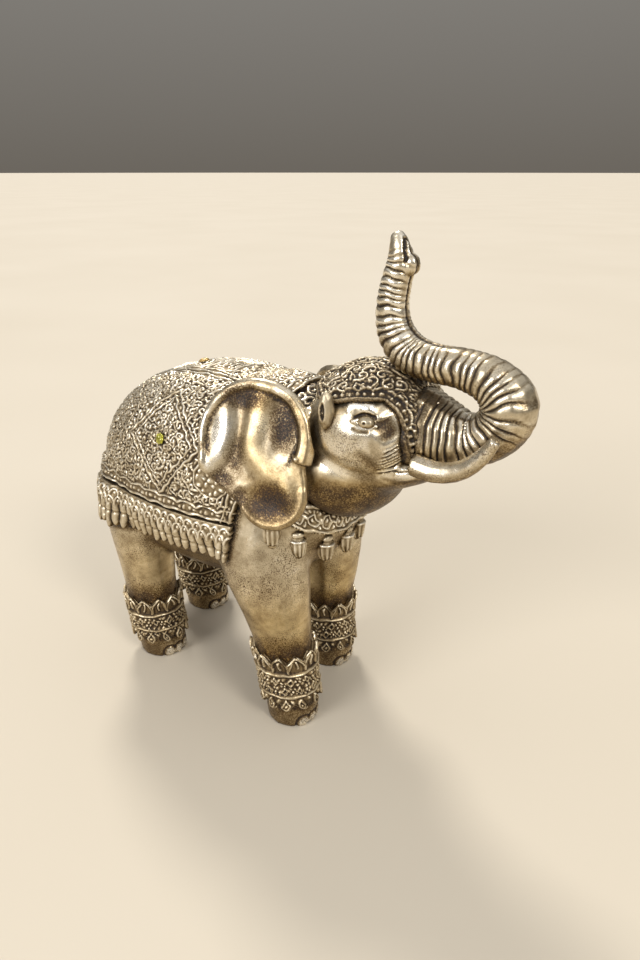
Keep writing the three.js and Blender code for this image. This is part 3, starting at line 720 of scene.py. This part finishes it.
HEADDRESS_AXIS_Z = 124
HEADDRESS_RADIUS = 22
HEADDRESS_EDGE = [(17.8, 8, 141), (24, 19, 140.2), (30.6, 22, 138.7), (36, 21.4, 140.2), (40.6, 20.2, 141.2),
                  (45.4, 18.6, 141.6), (49.6, 16.6, 141.4), (54, 14.4, 138.6), (56.8, 15, 135),
                  (58.6, 16, 131), (60.1, 16.4, 122.4)]
SCALLOP = 5.2
BORDER_BEAD = 2.6
HEADPIECE_WASH = 0.26


def make_headpiece():
    s = Sculpt("headpiece", 0.33, 4, 0.1)
    p = s.folded
    turn = np.arctan2(p[:, 1], p[:, 2] - HEADDRESS_AXIS_Z)
    c = Chart((10, -2), (72, 46))
    rng = np.random.default_rng(SEED + 2)

    def open_field(u, v):
        return 3.4 < v < 42

    filigree(c, (14, 3), (70, 44), open_field, 4.9, 2.3, 1.4, 1.0, rng)
    fill_gaps(c, (14, 3), (70, 44), open_field, 900, 1.2, 0.75, rng)
    # The crest along the top of the head: a row of leaves between two cords.
    c.raise_line([(12, 3.0), (70, 3.0)], 1.3, 0.8)
    for k in range(13):
        x = 15 + 4.3 * k
        c.raise_line(spline([(x, -1), (x + 1.5, 1.0), (x + 0.2, 2.3)], 0.4), 1.2, 0.8)
        c.bead((x + 2.6, 0), 1.0, 0.9)
    s.offset += c.sample(p[:, 0], turn * HEADDRESS_RADIUS)
    # The lower border: a cord, a row of beads and a scalloped line.
    path = s.snapped(spline(HEADDRESS_EDGE, 0.8))
    index, d = s.near(path, 6.0)
    slim = 1 - 0.4 * fade(s.points[index, 2], 138, 134)
    apart = (s.travel / BORDER_BEAD + 0.5) % 1 - 0.5
    beads = bump(np.hypot(d - 1.7 * slim, apart * BORDER_BEAD), 1.15)
    scallop = (2.9 + 1.1 * np.abs(np.sin(math.pi * s.travel / SCALLOP))) * slim
    s.offset[index] *= fade(d, 2.8 * slim, 4.2 * slim)
    s.offset[index] += 0.6 * bump(np.abs(d - 0.2), 0.7) + 0.9 * beads
    s.offset[index] += 0.75 * bump(np.abs(d - scallop), 0.8)
    s.wash_and_shade += HEADPIECE_WASH
    s.touch(("right_temple_drop", "left_temple_drop", "trunk") + TUSKS, 1.4, 0.7)
    s.finish("headpiece_scrollwork", CARVED, "antique_silver_relief", 0.34, 10)


def make_temple_drop(node):
    s = Sculpt(node, 0.24, 4, 0.45)
    c = centre_mm(node)
    p = s.points - c
    s.shift[:, 1] -= 0.4 * np.sign(c[1])
    s.polish_and_highlight += 0.5
    oval = np.hypot(p[:, 0] / 1.5, p[:, 2] / 5.4)
    outer = fade(np.abs(s.normals[:, 1]), 0.3, 0.7)
    s.offset -= 0.7 * outer * (1 - fade(oval, 0.35, 0.62))
    s.wash_and_shade = np.maximum(s.wash_and_shade, 0.7 * outer * (1 - fade(oval, 0.4, 0.7)))
    s.offset += 0.5 * outer * bump(np.hypot(p[:, 0], p[:, 2] + 0.6), 1.1)
    s.touch(("head_casting", "headpiece", "right_ear", "left_ear"), 1.6, 0.8)
    s.finish(node + "_loop", CARVED, "antique_silver_trim", 0.35, 10)


# The blanket, its fringes and its stones.

BARREL_DROP = 47
BARREL_SQUARENESS = 2.6
HEM_BORDER = 4.4
FRONT_BORDER = 4.2
DIAMOND_CORNERS = [(-1, 0), (0, -1), (1, 0), (0, 1)]


def barrel_table():
    """The distance down the flank from the spine, against the angle round the barrel."""
    low, high = box_mm("saddle_blanket")
    t = np.linspace(0, 0.72 * math.pi, 400)
    power = 2 / BARREL_SQUARENESS
    y = high[1] * np.abs(np.sin(t)) ** power
    z = BARREL_DROP * np.sign(np.cos(t)) * np.abs(np.cos(t)) ** power
    arc = np.concatenate([[0], np.cumsum(np.hypot(np.diff(y), np.diff(z)))])
    return np.arctan2(y, z), arc, z + high[2] - BARREL_DROP


def make_blanket():
    s = Sculpt("saddle_blanket", 0.44, 3, -0.35)
    angle, arc, height = barrel_table()
    low, high = box_mm("saddle_blanket")
    axis_z = high[2] - BARREL_DROP

    def down(z):
        return float(np.interp(-z, -height, arc))

    p = s.folded
    u = p[:, 0]
    v = np.interp(np.arctan2(p[:, 1], p[:, 2] - axis_z), angle, arc)
    hem = down(low[2])
    stone = centre_mm("right_blanket_jewel")
    cu, cv = stone[0], down(stone[2])
    half_u, half_v = 18.5, 21.5
    top_u = centre_mm("top_jewel")[0]
    front = [(-1.9, 89), (1.6, 100), (6.6, 122), (9.6, 134), (11.2, high[2])]
    front_u = [q[0] for q in front]
    front_v = [down(q[1]) for q in front]

    def front_edge(v):
        return np.interp(-v, [-x for x in front_v], front_u)

    rosette = array([front_edge(down(106)) - 13, down(106)])
    band = 13.5
    rng = np.random.default_rng(SEED + 3)
    c = Chart((low[0] - 3, -3), (high[0] + 3, hem + 3))

    def diamond(u, v):
        return abs(u - cu) / half_u + abs(v - cv) / half_v

    def open_field(u, v):
        return (diamond(u, v) > 1.09 and v > band + 1.6 and v < hem - HEM_BORDER - 2.2
                and u < front_edge(v) - FRONT_BORDER - 1.4
                and math.hypot(u - rosette[0], v - rosette[1]) > 8.2)

    def in_diamond(u, v):
        return 0.22 < diamond(u, v) < 0.76

    filigree(c, (low[0], 0), (high[0], hem), open_field, 3.7, 1.75, 1.35, 1.0, rng)
    fill_gaps(c, (low[0], 0), (high[0], hem), open_field, 6000, 1.25, 0.8, rng)
    filigree(c, (cu - half_u, cv - half_v), (cu + half_u, cv + half_v), in_diamond, 3.4, 1.6, 1.3, 0.95, rng)
    fill_gaps(c, (cu - half_u, cv - half_v), (cu + half_u, cv + half_v), in_diamond, 900, 1.2, 0.8, rng)
    for scale, width in ((1.0, 1.6), (0.84, 1.2)):
        corners = [(cu - half_u * scale, cv), (cu, cv - half_v * scale), (cu + half_u * scale, cv),
                   (cu, cv + half_v * scale), (cu - half_u * scale, cv)]
        c.raise_line(corners, width, 0.85)
    for a, b in zip(range(4), (1, 2, 3, 0)):
        ends = [array([cu, cv]) + 0.92 * array(DIAMOND_CORNERS[i]) * (half_u, half_v) for i in (a, b)]
        for share in np.linspace(0, 1, 14):
            c.bead(ends[0] + (ends[1] - ends[0]) * share, 0.75, 0.6)
    for k in range(8):
        a = k * math.pi / 4
        tip = array([math.cos(a), math.sin(a)])
        across = array([-tip[1], tip[0]])
        centre = array([cu, cv])
        petal = [centre + tip * 2.6, centre + tip * 4 + across * 1.3, centre + tip * 6.2,
                 centre + tip * 4 - across * 1.3, centre + tip * 2.6]
        c.raise_line(spline(petal, 0.5), 1.0, 0.75)
    for radius, count in ((2.6, 6), (5.6, 12)):
        for k in range(count):
            a = 2 * math.pi * k / count
            c.bead(rosette + radius * array([math.cos(a), math.sin(a)]), 1.25, 0.75)
    c.bead(rosette, 1.7, 0.85)
    ring = np.linspace(0, 2 * math.pi, 40)
    c.raise_line(rosette + 7.2 * np.stack([np.cos(ring), np.sin(ring)], axis=1), 1.1, 0.7)
    # The top band's framed panels with bars across them.
    for edge in (band, band - 2.2):
        c.raise_line([(low[0], edge), (front_edge(edge) - FRONT_BORDER, edge)], 1.3, 0.8)
    panel = 16.0
    first = top_u - panel * 2.5
    for k in range(5):
        left, right = first + k * panel, first + (k + 1) * panel
        if right > front_edge(0) - FRONT_BORDER + 1:
            break
        for inset in (1.2, 3.2):
            box = [(left + inset, -2), (left + inset, band - 3.4 - inset), (right - inset, band - 3.4 - inset),
                   (right - inset, -2)]
            c.raise_line(box, 1.2, 0.75)
        if k == 2:
            for j in range(10):
                a = j * math.pi / 5
                c.bead(array([top_u, 0]) + 3.9 * array([math.cos(a), math.sin(a)]), 1.0, 0.7)
            continue
        for j in range(4):
            bar = left + 5.0 + j * 2.0
            c.raise_line([(bar, -2), (bar, band - 9)], 1.1, 0.7)
    last = top_u + panel * 1.5

    def ahead(u, v):
        return last + 1 < u < front_edge(v) - FRONT_BORDER - 1.2 and v < band - 3

    filigree(c, (last, 0), (high[0], band), ahead, 3.7, 1.75, 1.35, 1.0, rng)
    fill_gaps(c, (last, 0), (high[0], band), ahead, 900, 1.25, 0.8, rng)
    # Front and hem borders.
    edge_v = np.linspace(0, hem, 60)
    for inset, width in ((0.9, 1.5), (FRONT_BORDER, 1.3)):
        c.raise_line(np.stack([front_edge(edge_v) - inset, edge_v], axis=1), width, 0.85)
    for k in range(int(hem / 2.6)):
        at = 1.3 + 2.6 * k
        c.bead((front_edge(at) - (FRONT_BORDER + 0.9) / 2, at), 1.15, 0.7)
    wave_u = np.linspace(low[0], high[0], 400)
    wave = hem - HEM_BORDER - 1.2 * np.abs(np.sin((wave_u - cu) * math.pi / 9.2))
    c.raise_line(np.stack([wave_u, wave], axis=1), 1.3, 0.85)
    c.raise_line([(low[0], hem - 0.9), (high[0], hem - 0.9)], 1.5, 0.85)
    for k in range(int((high[0] - low[0]) / 2.6)):
        c.bead((low[0] + 2.6 * k, hem - 2.9), 1.1, 0.65)
    rear_facing = fade(-s.normals[:, 0], 0.62, 0.80)
    drift = 0.32 * np.sin(u * 1.3 + v * 0.7), 0.32 * np.sin(v * 1.1 - u * 0.6)
    flank = c.sample(u + drift[0], v + drift[1]) * (0.85 + 0.15 * np.sin(u * 0.9) * np.sin(v * 0.8))
    rump = Chart((-2, low[2] - 2), (high[1] + 2, high[2] + 2))
    filigree(rump, (2, low[2]), (high[1], high[2]), lambda y, z: True, 3.7, 1.75, 1.35, 1.0, rng)
    fill_gaps(rump, (2, low[2]), (high[1], high[2]), lambda y, z: True, 3000, 1.25, 0.8, rng)
    rump.raise_line([(0, low[2]), (0, high[2])], 1.6, 0.8)
    rump.raise_line([(0, low[2] + 1), (high[1], low[2] + 1)], 1.6, 0.8)
    rear = rump.sample(p[:, 1], p[:, 2])
    away = s.points - array([(low[0] + high[0]) / 2, 0, axis_z])
    away[:, 0] = np.where(np.abs(away[:, 0]) > 20, away[:, 0] - 20 * np.sign(away[:, 0]), 0)
    outer = fade((s.normals * away).sum(axis=1) / np.linalg.norm(away, axis=1), 0.1, 0.4)
    s.offset += outer * (flank * (1 - rear_facing) + rear * rear_facing)
    s.touch(("right_blanket_jewel", "left_blanket_jewel", "top_jewel"), 1.4, 0.8)
    s.touch(("right_fringe", "left_fringe", "rear_fringe"), 1.2, 0.7)
    s.touch(EARS, 5.0, 0.5)
    s.finish("blanket_filigree", CARVED, "antique_silver_relief", 0.30, 8)


PLEAT = 4.1


def make_fringe(node):
    s = Sculpt(node, 0.40, 3, 0.0)
    low, high = box_mm(node)
    p = s.folded
    across = p[:, 1] if node == "rear_fringe" else p[:, 0]
    z = p[:, 2]
    top = high[2]
    rows = across + 0.25 * np.sin(z * 0.55 + across * 0.3)
    wave = np.abs(np.cos(math.pi * rows / PLEAT))
    # The tassels hang below a row of arches.
    body_part = fade(top - z, 7.2, 8.8)
    s.offset += body_part * (1.6 * wave ** 0.6 - 1.05)
    s.offset -= 0.45 * bump(np.abs(z - (top - 11.4)), 1.0)
    c = Chart((-90, top - 12), (90, top + 2))
    for k in range(-26, 27):
        a = np.linspace(0, math.pi, 12)
        for drop, rise, start in ((8.0, 3.6, 0.5), (3.8, 2.4, 0.0)):
            middle = PLEAT * (k + start)
            arch = np.stack([middle - PLEAT / 2 * np.cos(a) * 0.96, top - drop + rise * np.sin(a)], axis=1)
            c.raise_line(arch, 1.2, 0.85)
        c.bead((PLEAT * (k + 0.5), top - 6.2), 1.1, 0.8)
        c.bead((PLEAT * k, top - 2.9), 1.0, 0.65)
    s.offset += (1 - body_part) * (c.sample(across + 0.3 * np.sin(across * 0.8), z) - 0.1)
    floor = z - low[2]
    tassel = np.round(rows / PLEAT)
    uneven = 0.8 + 0.8 * np.sin(tassel * 2.7)
    lift = (1 - fade(floor, 0.5, 6.0)) * ((1 - wave) * 2.6 + uneven)
    s.shift[:, 2] += lift
    s.wash_and_shade = np.maximum(s.wash_and_shade, 0.45 * (1 - wave) ** 2 * body_part)
    s.polish_and_highlight += 0.35
    s.touch(("saddle_blanket",), 1.2, 0.7)
    s.finish(node + "_tassels", CARVED, "antique_silver_trim", 0.42, 8)


def make_stone(node, material, slot):
    s = Sculpt(node, 0.2, 3, 0.15)
    c = centre_mm(node)
    p = s.points - c
    if node == "top_jewel":
        flat = np.arctan2(p[:, 1], p[:, 0])
    else:
        flat = np.arctan2(p[:, 2], p[:, 0])
    s.offset += 0.09 * np.cos(8 * flat)
    s.finish(node + "_cut", material, slot, 0.3, 6)


# The collar with its pendants.

COLLAR_START = array([6.58, 104])
COLLAR_RUN = array([28, -16]) / math.hypot(28, 16)
COLLAR_AXIS_X = 2.0
COLLAR_RADIUS = 30


def make_collar():
    s = Sculpt("collar", 0.34, 3, 0.0)
    p = s.points
    flat = p[:, [0, 2]] - COLLAR_START
    across = flat[:, 0] * -COLLAR_RUN[1] + flat[:, 1] * COLLAR_RUN[0]
    round_ = np.abs(np.arctan2(p[:, 1], p[:, 0] - COLLAR_AXIS_X)) * COLLAR_RADIUS
    c = Chart((-4, -8), (72, 8))
    for v, width in ((-4.2, 1.5), (4.2, 1.5)):
        c.raise_line([(-4, v), (72, v)], width, 0.85)
    for k in range(14):
        u = 5.4 * k
        loop = [(u - 2.1, 0), (u, 2.5), (u + 2.1, 0), (u, -2.5), (u - 2.1, 0)]
        c.raise_line(spline(loop, 0.4), 1.0, 0.75)
        c.bead((u, 0), 1.15, 0.9)
        for v in (-2.5, 0, 2.5):
            c.bead((u + 2.7, v), 1.2, 0.95)
        for k in range(4):
            c.bead((u + 1.35 * k, -4.9), 0.8, 0.9)
            c.bead((u + 1.35 * k, 3.1), 0.7, 0.6)
    centre = array([COLLAR_AXIS_X, 0, 95])
    out = fade(((s.points - centre) * s.normals).sum(axis=1) / np.linalg.norm(s.points - centre, axis=1), 0.1, 0.4)
    warp = 0.4 * np.sin(round_ * 1.1 + across), 0.4 * np.sin(round_ * 0.7 - across * 0.8)
    s.offset += out * c.sample(round_ + warp[0], across + warp[1])
    s.polish_and_highlight += 0.25
    pendants = tuple(f"collar_pendant_{k}" for k in range(1, 8))
    s.touch(pendants, 1.2, 0.7)
    s.touch(("head_casting",) + EARS, 3.0, 0.5)
    s.finish("collar_band", CARVED, "antique_silver_relief", 0.34, 8)


def make_pendant(node):
    s = Sculpt(node, 0.26, 4, 0.35)
    low, high = box_mm(node)
    s.polish_and_highlight += 0.45
    c = (low + high) / 2
    p = s.points - c
    turn = np.arctan2(p[:, 1], p[:, 0])
    height = (s.points[:, 2] - low[2]) / (high[2] - low[2])
    lobes = fade(height, 0.04, 0.2) * (1 - fade(height, 0.55, 0.68))
    s.offset += 0.28 * lobes * np.cos(8 * turn)
    s.offset += 0.45 * bump(np.abs(height - 0.66), 0.07)
    s.offset -= 0.55 * bump(np.abs(height - 0.76), 0.09)
    s.offset += 0.4 * bump(np.abs(height - 0.9), 0.1)
    s.offset -= 0.4 * bump(np.abs(height - 0.12), 0.05)
    s.touch(("collar", "body_casting"), 1.2, 0.7)
    s.finish(node + "_bell", CARVED, "antique_silver_trim", 0.34, 8)


# Anklets and legs.

CROWN_POINTS = 12
ANKLET_RADIUS = 12.6
ANKLET_WASH = 0.16


def make_anklet(node):
    s = Sculpt(node, 0.33, 3, 0.0)
    low, high = box_mm(node)
    c = (low + high) / 2
    # The band leans with its leg, so its middle is found ring by ring.
    z = s.points[:, 2]
    bins = np.clip(((z - low[2]) / 1.0).astype(int), 0, int(high[2] - low[2]))
    count = np.maximum(np.bincount(bins), 1)
    mid_x = np.bincount(bins, s.points[:, 0]) / count
    mid_y = np.bincount(bins, s.points[:, 1]) / count
    turn = np.arctan2(s.points[:, 1] - mid_y[bins], s.points[:, 0] - mid_x[bins])
    step = 2 * math.pi * ANKLET_RADIUS / CROWN_POINTS
    half = math.pi * ANKLET_RADIUS
    chart = Chart((-half - 3, low[2] - 2), (half + 3, high[2] + 2))
    top = high[2]
    tall = high[2] - low[2]
    crown = 7.0
    upper_band = top - crown - 1.4
    lower_band = top - tall * 0.72
    rng = np.random.default_rng(SEED + 7)
    for k in range(-CROWN_POINTS // 2 - 1, CROWN_POINTS // 2 + 2):
        u = k * step
        leaf = [(u - step / 2, top - crown), (u - 0.40 * step, top - 0.55 * crown), (u, top - 0.7),
                (u + 0.40 * step, top - 0.55 * crown), (u + step / 2, top - crown)]
        chart.raise_line(spline(leaf, 0.4), 1.6, 1.1)
        chart.raise_line([(u, top - 2.6), (u, top - crown + 1.4)], 1.5, 1.0)
        chart.bead((u + step / 2, top - 0.52 * crown), 0.9, 0.7)
        for row in range(2):
            v = upper_band - 3.4 - row * 4.4
            uu = u + (row % 2) * step / 2
            for j in range(6):
                a = j * math.pi / 3 + rng.uniform(-0.3, 0.3)
                place = (uu + 1.7 * math.cos(a), v + 1.6 * math.sin(a))
                chart.bead(place, rng.uniform(0.8, 1.3), rng.uniform(0.7, 1.15))
            chart.bead((uu, v), 1.1, 1.2)
            for side in (-1, 1):
                leaf = [(uu + step / 2, v - 1.6), (uu + step / 2 + side * 0.9, v), (uu + step / 2, v + 1.6)]
                chart.raise_line(spline(leaf, 0.4), 1.2, 0.95)
        drop = [(u, lower_band - 1.6), (u + 1.25, lower_band - 4.2), (u, lower_band - 5.8),
                (u - 1.25, lower_band - 4.2), (u, lower_band - 1.6)]
        chart.raise_line(spline(drop, 0.4), 1.5, 1.1)
        chart.bead((u, lower_band - 4.3), 1.3, 1.1)
        chart.bead((u + step / 2, lower_band - 2.2), 1.5, 1.0)
    for v, width in ((upper_band, 2.2), (lower_band, 2.2)):
        chart.raise_line([(-half - 3, v), (half + 3, v)], width, 1.15)

    # The top edge is cut into leaf tips and the bottom edge into hanging drops.
    lean = np.abs((turn * ANKLET_RADIUS / step + 0.5) % 1 - 0.5) * 2
    level = np.clip(z, lower_band - 6.6 + 3.4 * lean, top - 0.2 - 0.5 * crown * lean)
    s.shift[:, 2] += level - z
    radial = np.stack([np.cos(turn), np.sin(turn)], axis=1)
    out = fade((s.normals[:, :2] * radial).sum(axis=1), 0.1, 0.5)
    uneven = 0.35 * np.sin(turn * 7 + z * 0.9) + 0.25 * np.sin(turn * 3 - z * 0.6)
    s.offset += out * (chart.sample(turn * ANKLET_RADIUS + uneven, level + 0.5 * uneven) - 0.2)
    s.wash_and_shade += ANKLET_WASH
    s.gilt_and_reflection += 0.35
    s.polish_and_highlight += 0.5 * fade(z, top - 5, top - 1)
    s.touch(("body_casting",), 0.9, 0.35)
    s.finish(node + "_chasing", CARVED, "antique_silver_relief", 0.36, 8)


def make_body():
    s = Sculpt("body_casting", 0.62, 16, 0.12)
    s.fill(70)
    p = s.points
    # The body turns more golden towards the feet.
    s.gilt_and_reflection = 0.95 * fade(p[:, 2], 74, 48) * (0.75 + 0.25 * np.sin(p[:, 0] * 0.11))
    s.fleck = 0.5 * bump(np.abs(p[:, 2] - 66), 26)
    s.points[:, 2] = np.maximum(s.points[:, 2], 0.2)
    for node in ANKLETS:
        low, high = box_mm(node)
        cx, cy = (low[0] + high[0]) / 2, (low[1] + high[1]) / 2
        here = (np.abs(p[:, 0] - cx) < 26) & (np.abs(p[:, 1] - cy) < 19) & (p[:, 2] < low[2] + 4)
        foot = np.flatnonzero(here)
        q = p[foot]
        base = q[q[:, 2] < 3]
        fx, fy = base[:, 0].mean(), base[:, 1].mean()
        turn = np.arctan2(q[:, 1] - fy, q[:, 0] - fx)
        radius = np.hypot(q[:, 0] - fx, q[:, 1] - fy)
        for k in range(-1, 2):
            gap = np.abs(turn - 0.46 * k) * radius
            oval = np.hypot(gap / 2.7, (q[:, 2] - 1.9) / 2.8)
            nail = 1 - fade(oval, 0.5, 1.0)
            edge = bump(np.abs(oval - 1.22), 0.30)
            s.offset[foot] += 0.25 * nail - 0.40 * edge
            s.wash_and_shade[foot] = np.maximum(s.wash_and_shade[foot], 0.7 * edge)
            s.polish_and_highlight[foot] += 1.5 * nail
        toes = bump(np.abs(turn), 1.2) * bump(np.abs(q[:, 2] - 4.6), 4.0)
        s.offset[foot] += 0.55 * toes * (0.8 + 0.2 * np.cos(turn * 13.6))
        s.wash_and_shade[foot] = np.maximum(s.wash_and_shade[foot], np.maximum(0.28, 0.7 * bump(q[:, 2], 2.0)))
        s.wash_and_shade[foot] *= np.where(s.polish_and_highlight[foot] > 0, np.maximum(0, 1 - s.polish_and_highlight[foot]), 1)
        s.gilt_and_reflection[foot] = np.maximum(0, 0.5 - s.polish_and_highlight[foot])
        s.fleck[foot] = 0.6
        # Creases across the leg above the band.
        near = (np.abs(p[:, 0] - cx) < 28) & (np.abs(p[:, 1] - cy) < 22)
        leg = np.flatnonzero(near & (p[:, 2] > high[2] - 1) & (p[:, 2] < high[2] + 26))
        q = p[leg]
        turn = np.arctan2(q[:, 1] - cy, q[:, 0] - cx)
        # Painted shade round the top of the band, with the paint's own specks there too.
        s.wash_and_shade[leg] = np.maximum(s.wash_and_shade[leg], 0.62 * bump(np.abs(q[:, 2] - high[2] + 3), 13))
        s.fleck[leg] = np.maximum(s.fleck[leg], bump(np.abs(q[:, 2] - high[2]), 14))
        for k in range(2):
            level = high[2] + 4 + 8 * k
            line = level + 0.9 * np.sin(turn * 2 + k * 1.3) + 0.4 * np.sin(turn * 5 + k * 2.1)
            fold = bump(np.abs(q[:, 2] - line), 1.1) * (0.55 + 0.45 * np.sin(turn * 1.5 + k))
            s.offset[leg] -= 0.10 * np.maximum(fold, 0)
    # The nape, between the blanket and the headpiece, is chased like the blanket.
    nape = Chart((-8, -32), (46, 32))
    rng = np.random.default_rng(SEED + 9)
    filigree(nape, (-6, -30), (44, 30), lambda x, y: True, 5.6, 2.6, 2.2, 1.0, rng)
    top_facing = fade(s.normals[:, 2], 0.35, 0.7) * fade(p[:, 2], 102, 112)
    s.offset += top_facing * nape.sample(p[:, 0], p[:, 1])
    s.wash_and_shade = np.maximum(s.wash_and_shade, 0.35 * top_facing)
    s.touch(ANKLETS, 2.0, 0.9)
    s.touch(SHELL_PARTS, 4.0, 0.95)
    s.touch(EARS, 6.0, 1.0)
    s.touch(("head_casting",), 5.0, 1.0)
    s.touch(("tail",), 1.6, 0.7)
    s.finish("body_skin", LEG, "antique_silver_smooth", 0.40, 14)


def make_tail():
    s = Sculpt("tail", 0.34, 8, 0.0)
    low, high = box_mm("tail")
    z = s.points[:, 2]
    c = (low + high) / 2
    turn = np.arctan2(s.points[:, 1] - c[1], s.points[:, 0] - c[0])
    height = (z - low[2]) / (high[2] - low[2])
    tuft = 1 - fade(height, 0.26, 0.36)
    s.offset += 0.38 * tuft * np.cos(9 * turn + z * 0.25)
    s.offset += 0.5 * bump(np.abs(height - 0.37), 0.05)
    s.offset += 0.16 * (1 - tuft) * np.cos(z * 2.1)
    s.touch(("rear_fringe", "saddle_blanket", "body_casting"), 1.4, 0.7)
    s.finish("tail_cord", SMOOTH, "antique_silver_smooth", 0.36, 8)


def make_figure():
    make_body()
    make_head()
    make_trunk()
    make_headpiece()
    make_blanket()
    make_collar()
    make_tail()
    for node in ("right_eye", "left_eye"):
        make_eye(node)
    for node in TUSKS:
        make_tusk(node)
    for node in EARS:
        make_ear(node)
    for node in ("right_temple_drop", "left_temple_drop"):
        make_temple_drop(node)
    for node in ("right_fringe", "left_fringe", "rear_fringe"):
        make_fringe(node)
    for node in ("right_blanket_jewel", "left_blanket_jewel"):
        make_stone(node, GREEN, "jewel_green")
    make_stone("top_jewel", AMBER, "jewel_gold")
    for k in range(1, 8):
        make_pendant(f"collar_pendant_{k}")
    for node in ANKLETS:
        make_anklet(node)


# The studio: a pale flat floor, soft lights and the camera.

CAMERA_PLACE = (157.49, -200.60, 208.67)
CAMERA_AHEAD = (-0.53226, 0.74247, -0.40674)
CAMERA_LENS = 26.25
SENSOR = 36.0


def make_floor():
    n = Nodes("studio_floor")
    tint = n.noise(3, 2)
    n.set(Base_Color=n.ramp(tint, [(0.3, (0.56, 0.495, 0.39)), (0.7, (0.585, 0.52, 0.415))]))
    n.shader.inputs["Roughness"].default_value = 0.8
    rings, spokes, reach = (0.4, 1.5, 6.0, 40.0), 48, 2 * math.pi / 48
    points, faces = [(0, 0, 0)], []
    for r in rings:
        points += [(r * math.cos(k * reach), r * math.sin(k * reach), 0) for k in range(spokes)]
    for k in range(spokes):
        faces.append((0, 1 + k, 1 + (k + 1) % spokes))
        for i in range(len(rings) - 1):
            a, b = 1 + i * spokes, 1 + (i + 1) * spokes
            faces.append((a + k, b + k, b + (k + 1) % spokes, a + (k + 1) % spokes))
    mesh = bpy.data.meshes.new("floor")
    mesh.from_pydata(points, [], faces)
    mesh.materials.append(n.material)
    floor = bpy.data.objects.new("floor", mesh)
    bpy.context.scene.collection.objects.link(floor)


def add_sun(name, towards, spread, power, tint=(1, 1, 1)):
    """A soft far light that comes from the given direction."""
    light = bpy.data.lights.new(name, "SUN")
    light.energy = power
    light.angle = math.radians(spread)
    light.color = tint
    lamp = bpy.data.objects.new(name, light)
    lamp.rotation_euler = (-Vector(towards)).to_track_quat("-Z", "Y").to_euler()
    bpy.context.scene.collection.objects.link(lamp)


def make_world():
    world = bpy.data.worlds.new("studio_world")
    world.use_nodes = True
    tree = world.node_tree
    place = tree.nodes.new("ShaderNodeTexCoord")
    parts = tree.nodes.new("ShaderNodeSeparateXYZ")
    ramp = tree.nodes.new("ShaderNodeValToRGB")
    tree.links.new(place.outputs["Generated"], parts.inputs[0])
    tree.links.new(parts.outputs["Z"], ramp.inputs["Fac"])
    tree.links.new(ramp.outputs["Color"], tree.nodes["Background"].inputs["Color"])
    ramp.color_ramp.elements.new(0.5)
    for element, (position, colour) in zip(ramp.color_ramp.elements, WORLD_TONES):
        element.position = position
        element.color = (*colour, 1)
    tree.nodes["Background"].inputs["Strength"].default_value = 1.0
    bpy.context.scene.world = world


WORLD_TONES = [(0.0, (0.15, 0.135, 0.115)), (0.35, (0.27, 0.26, 0.24)), (0.9, (0.88, 0.88, 0.90))]


def make_studio():
    make_floor()
    make_world()
    add_sun("key", (-0.60, 0.50, 1.0), 12, 1.6, (1.0, 0.97, 0.92))
    add_sun("front", (0.95, -0.30, 0.75), 18, 1.3, (1.0, 0.98, 0.95))
    add_sun("side", (-0.22, -1.04, 0.48), 30, 1.8, (0.98, 0.98, 1.0))
    bpy.context.scene.view_settings.view_transform = "Standard"
    lens = bpy.data.cameras.new("camera")
    lens.lens = CAMERA_LENS
    lens.sensor_width = SENSOR
    lens.clip_start = 0.01
    camera = bpy.data.objects.new("camera", lens)
    camera.location = Vector(CAMERA_PLACE) * MM
    camera.rotation_euler = Vector(CAMERA_AHEAD).to_track_quat("-Z", "Y").to_euler()
    bpy.context.scene.collection.objects.link(camera)
    bpy.context.scene.camera = camera


make_studio()
make_figure()
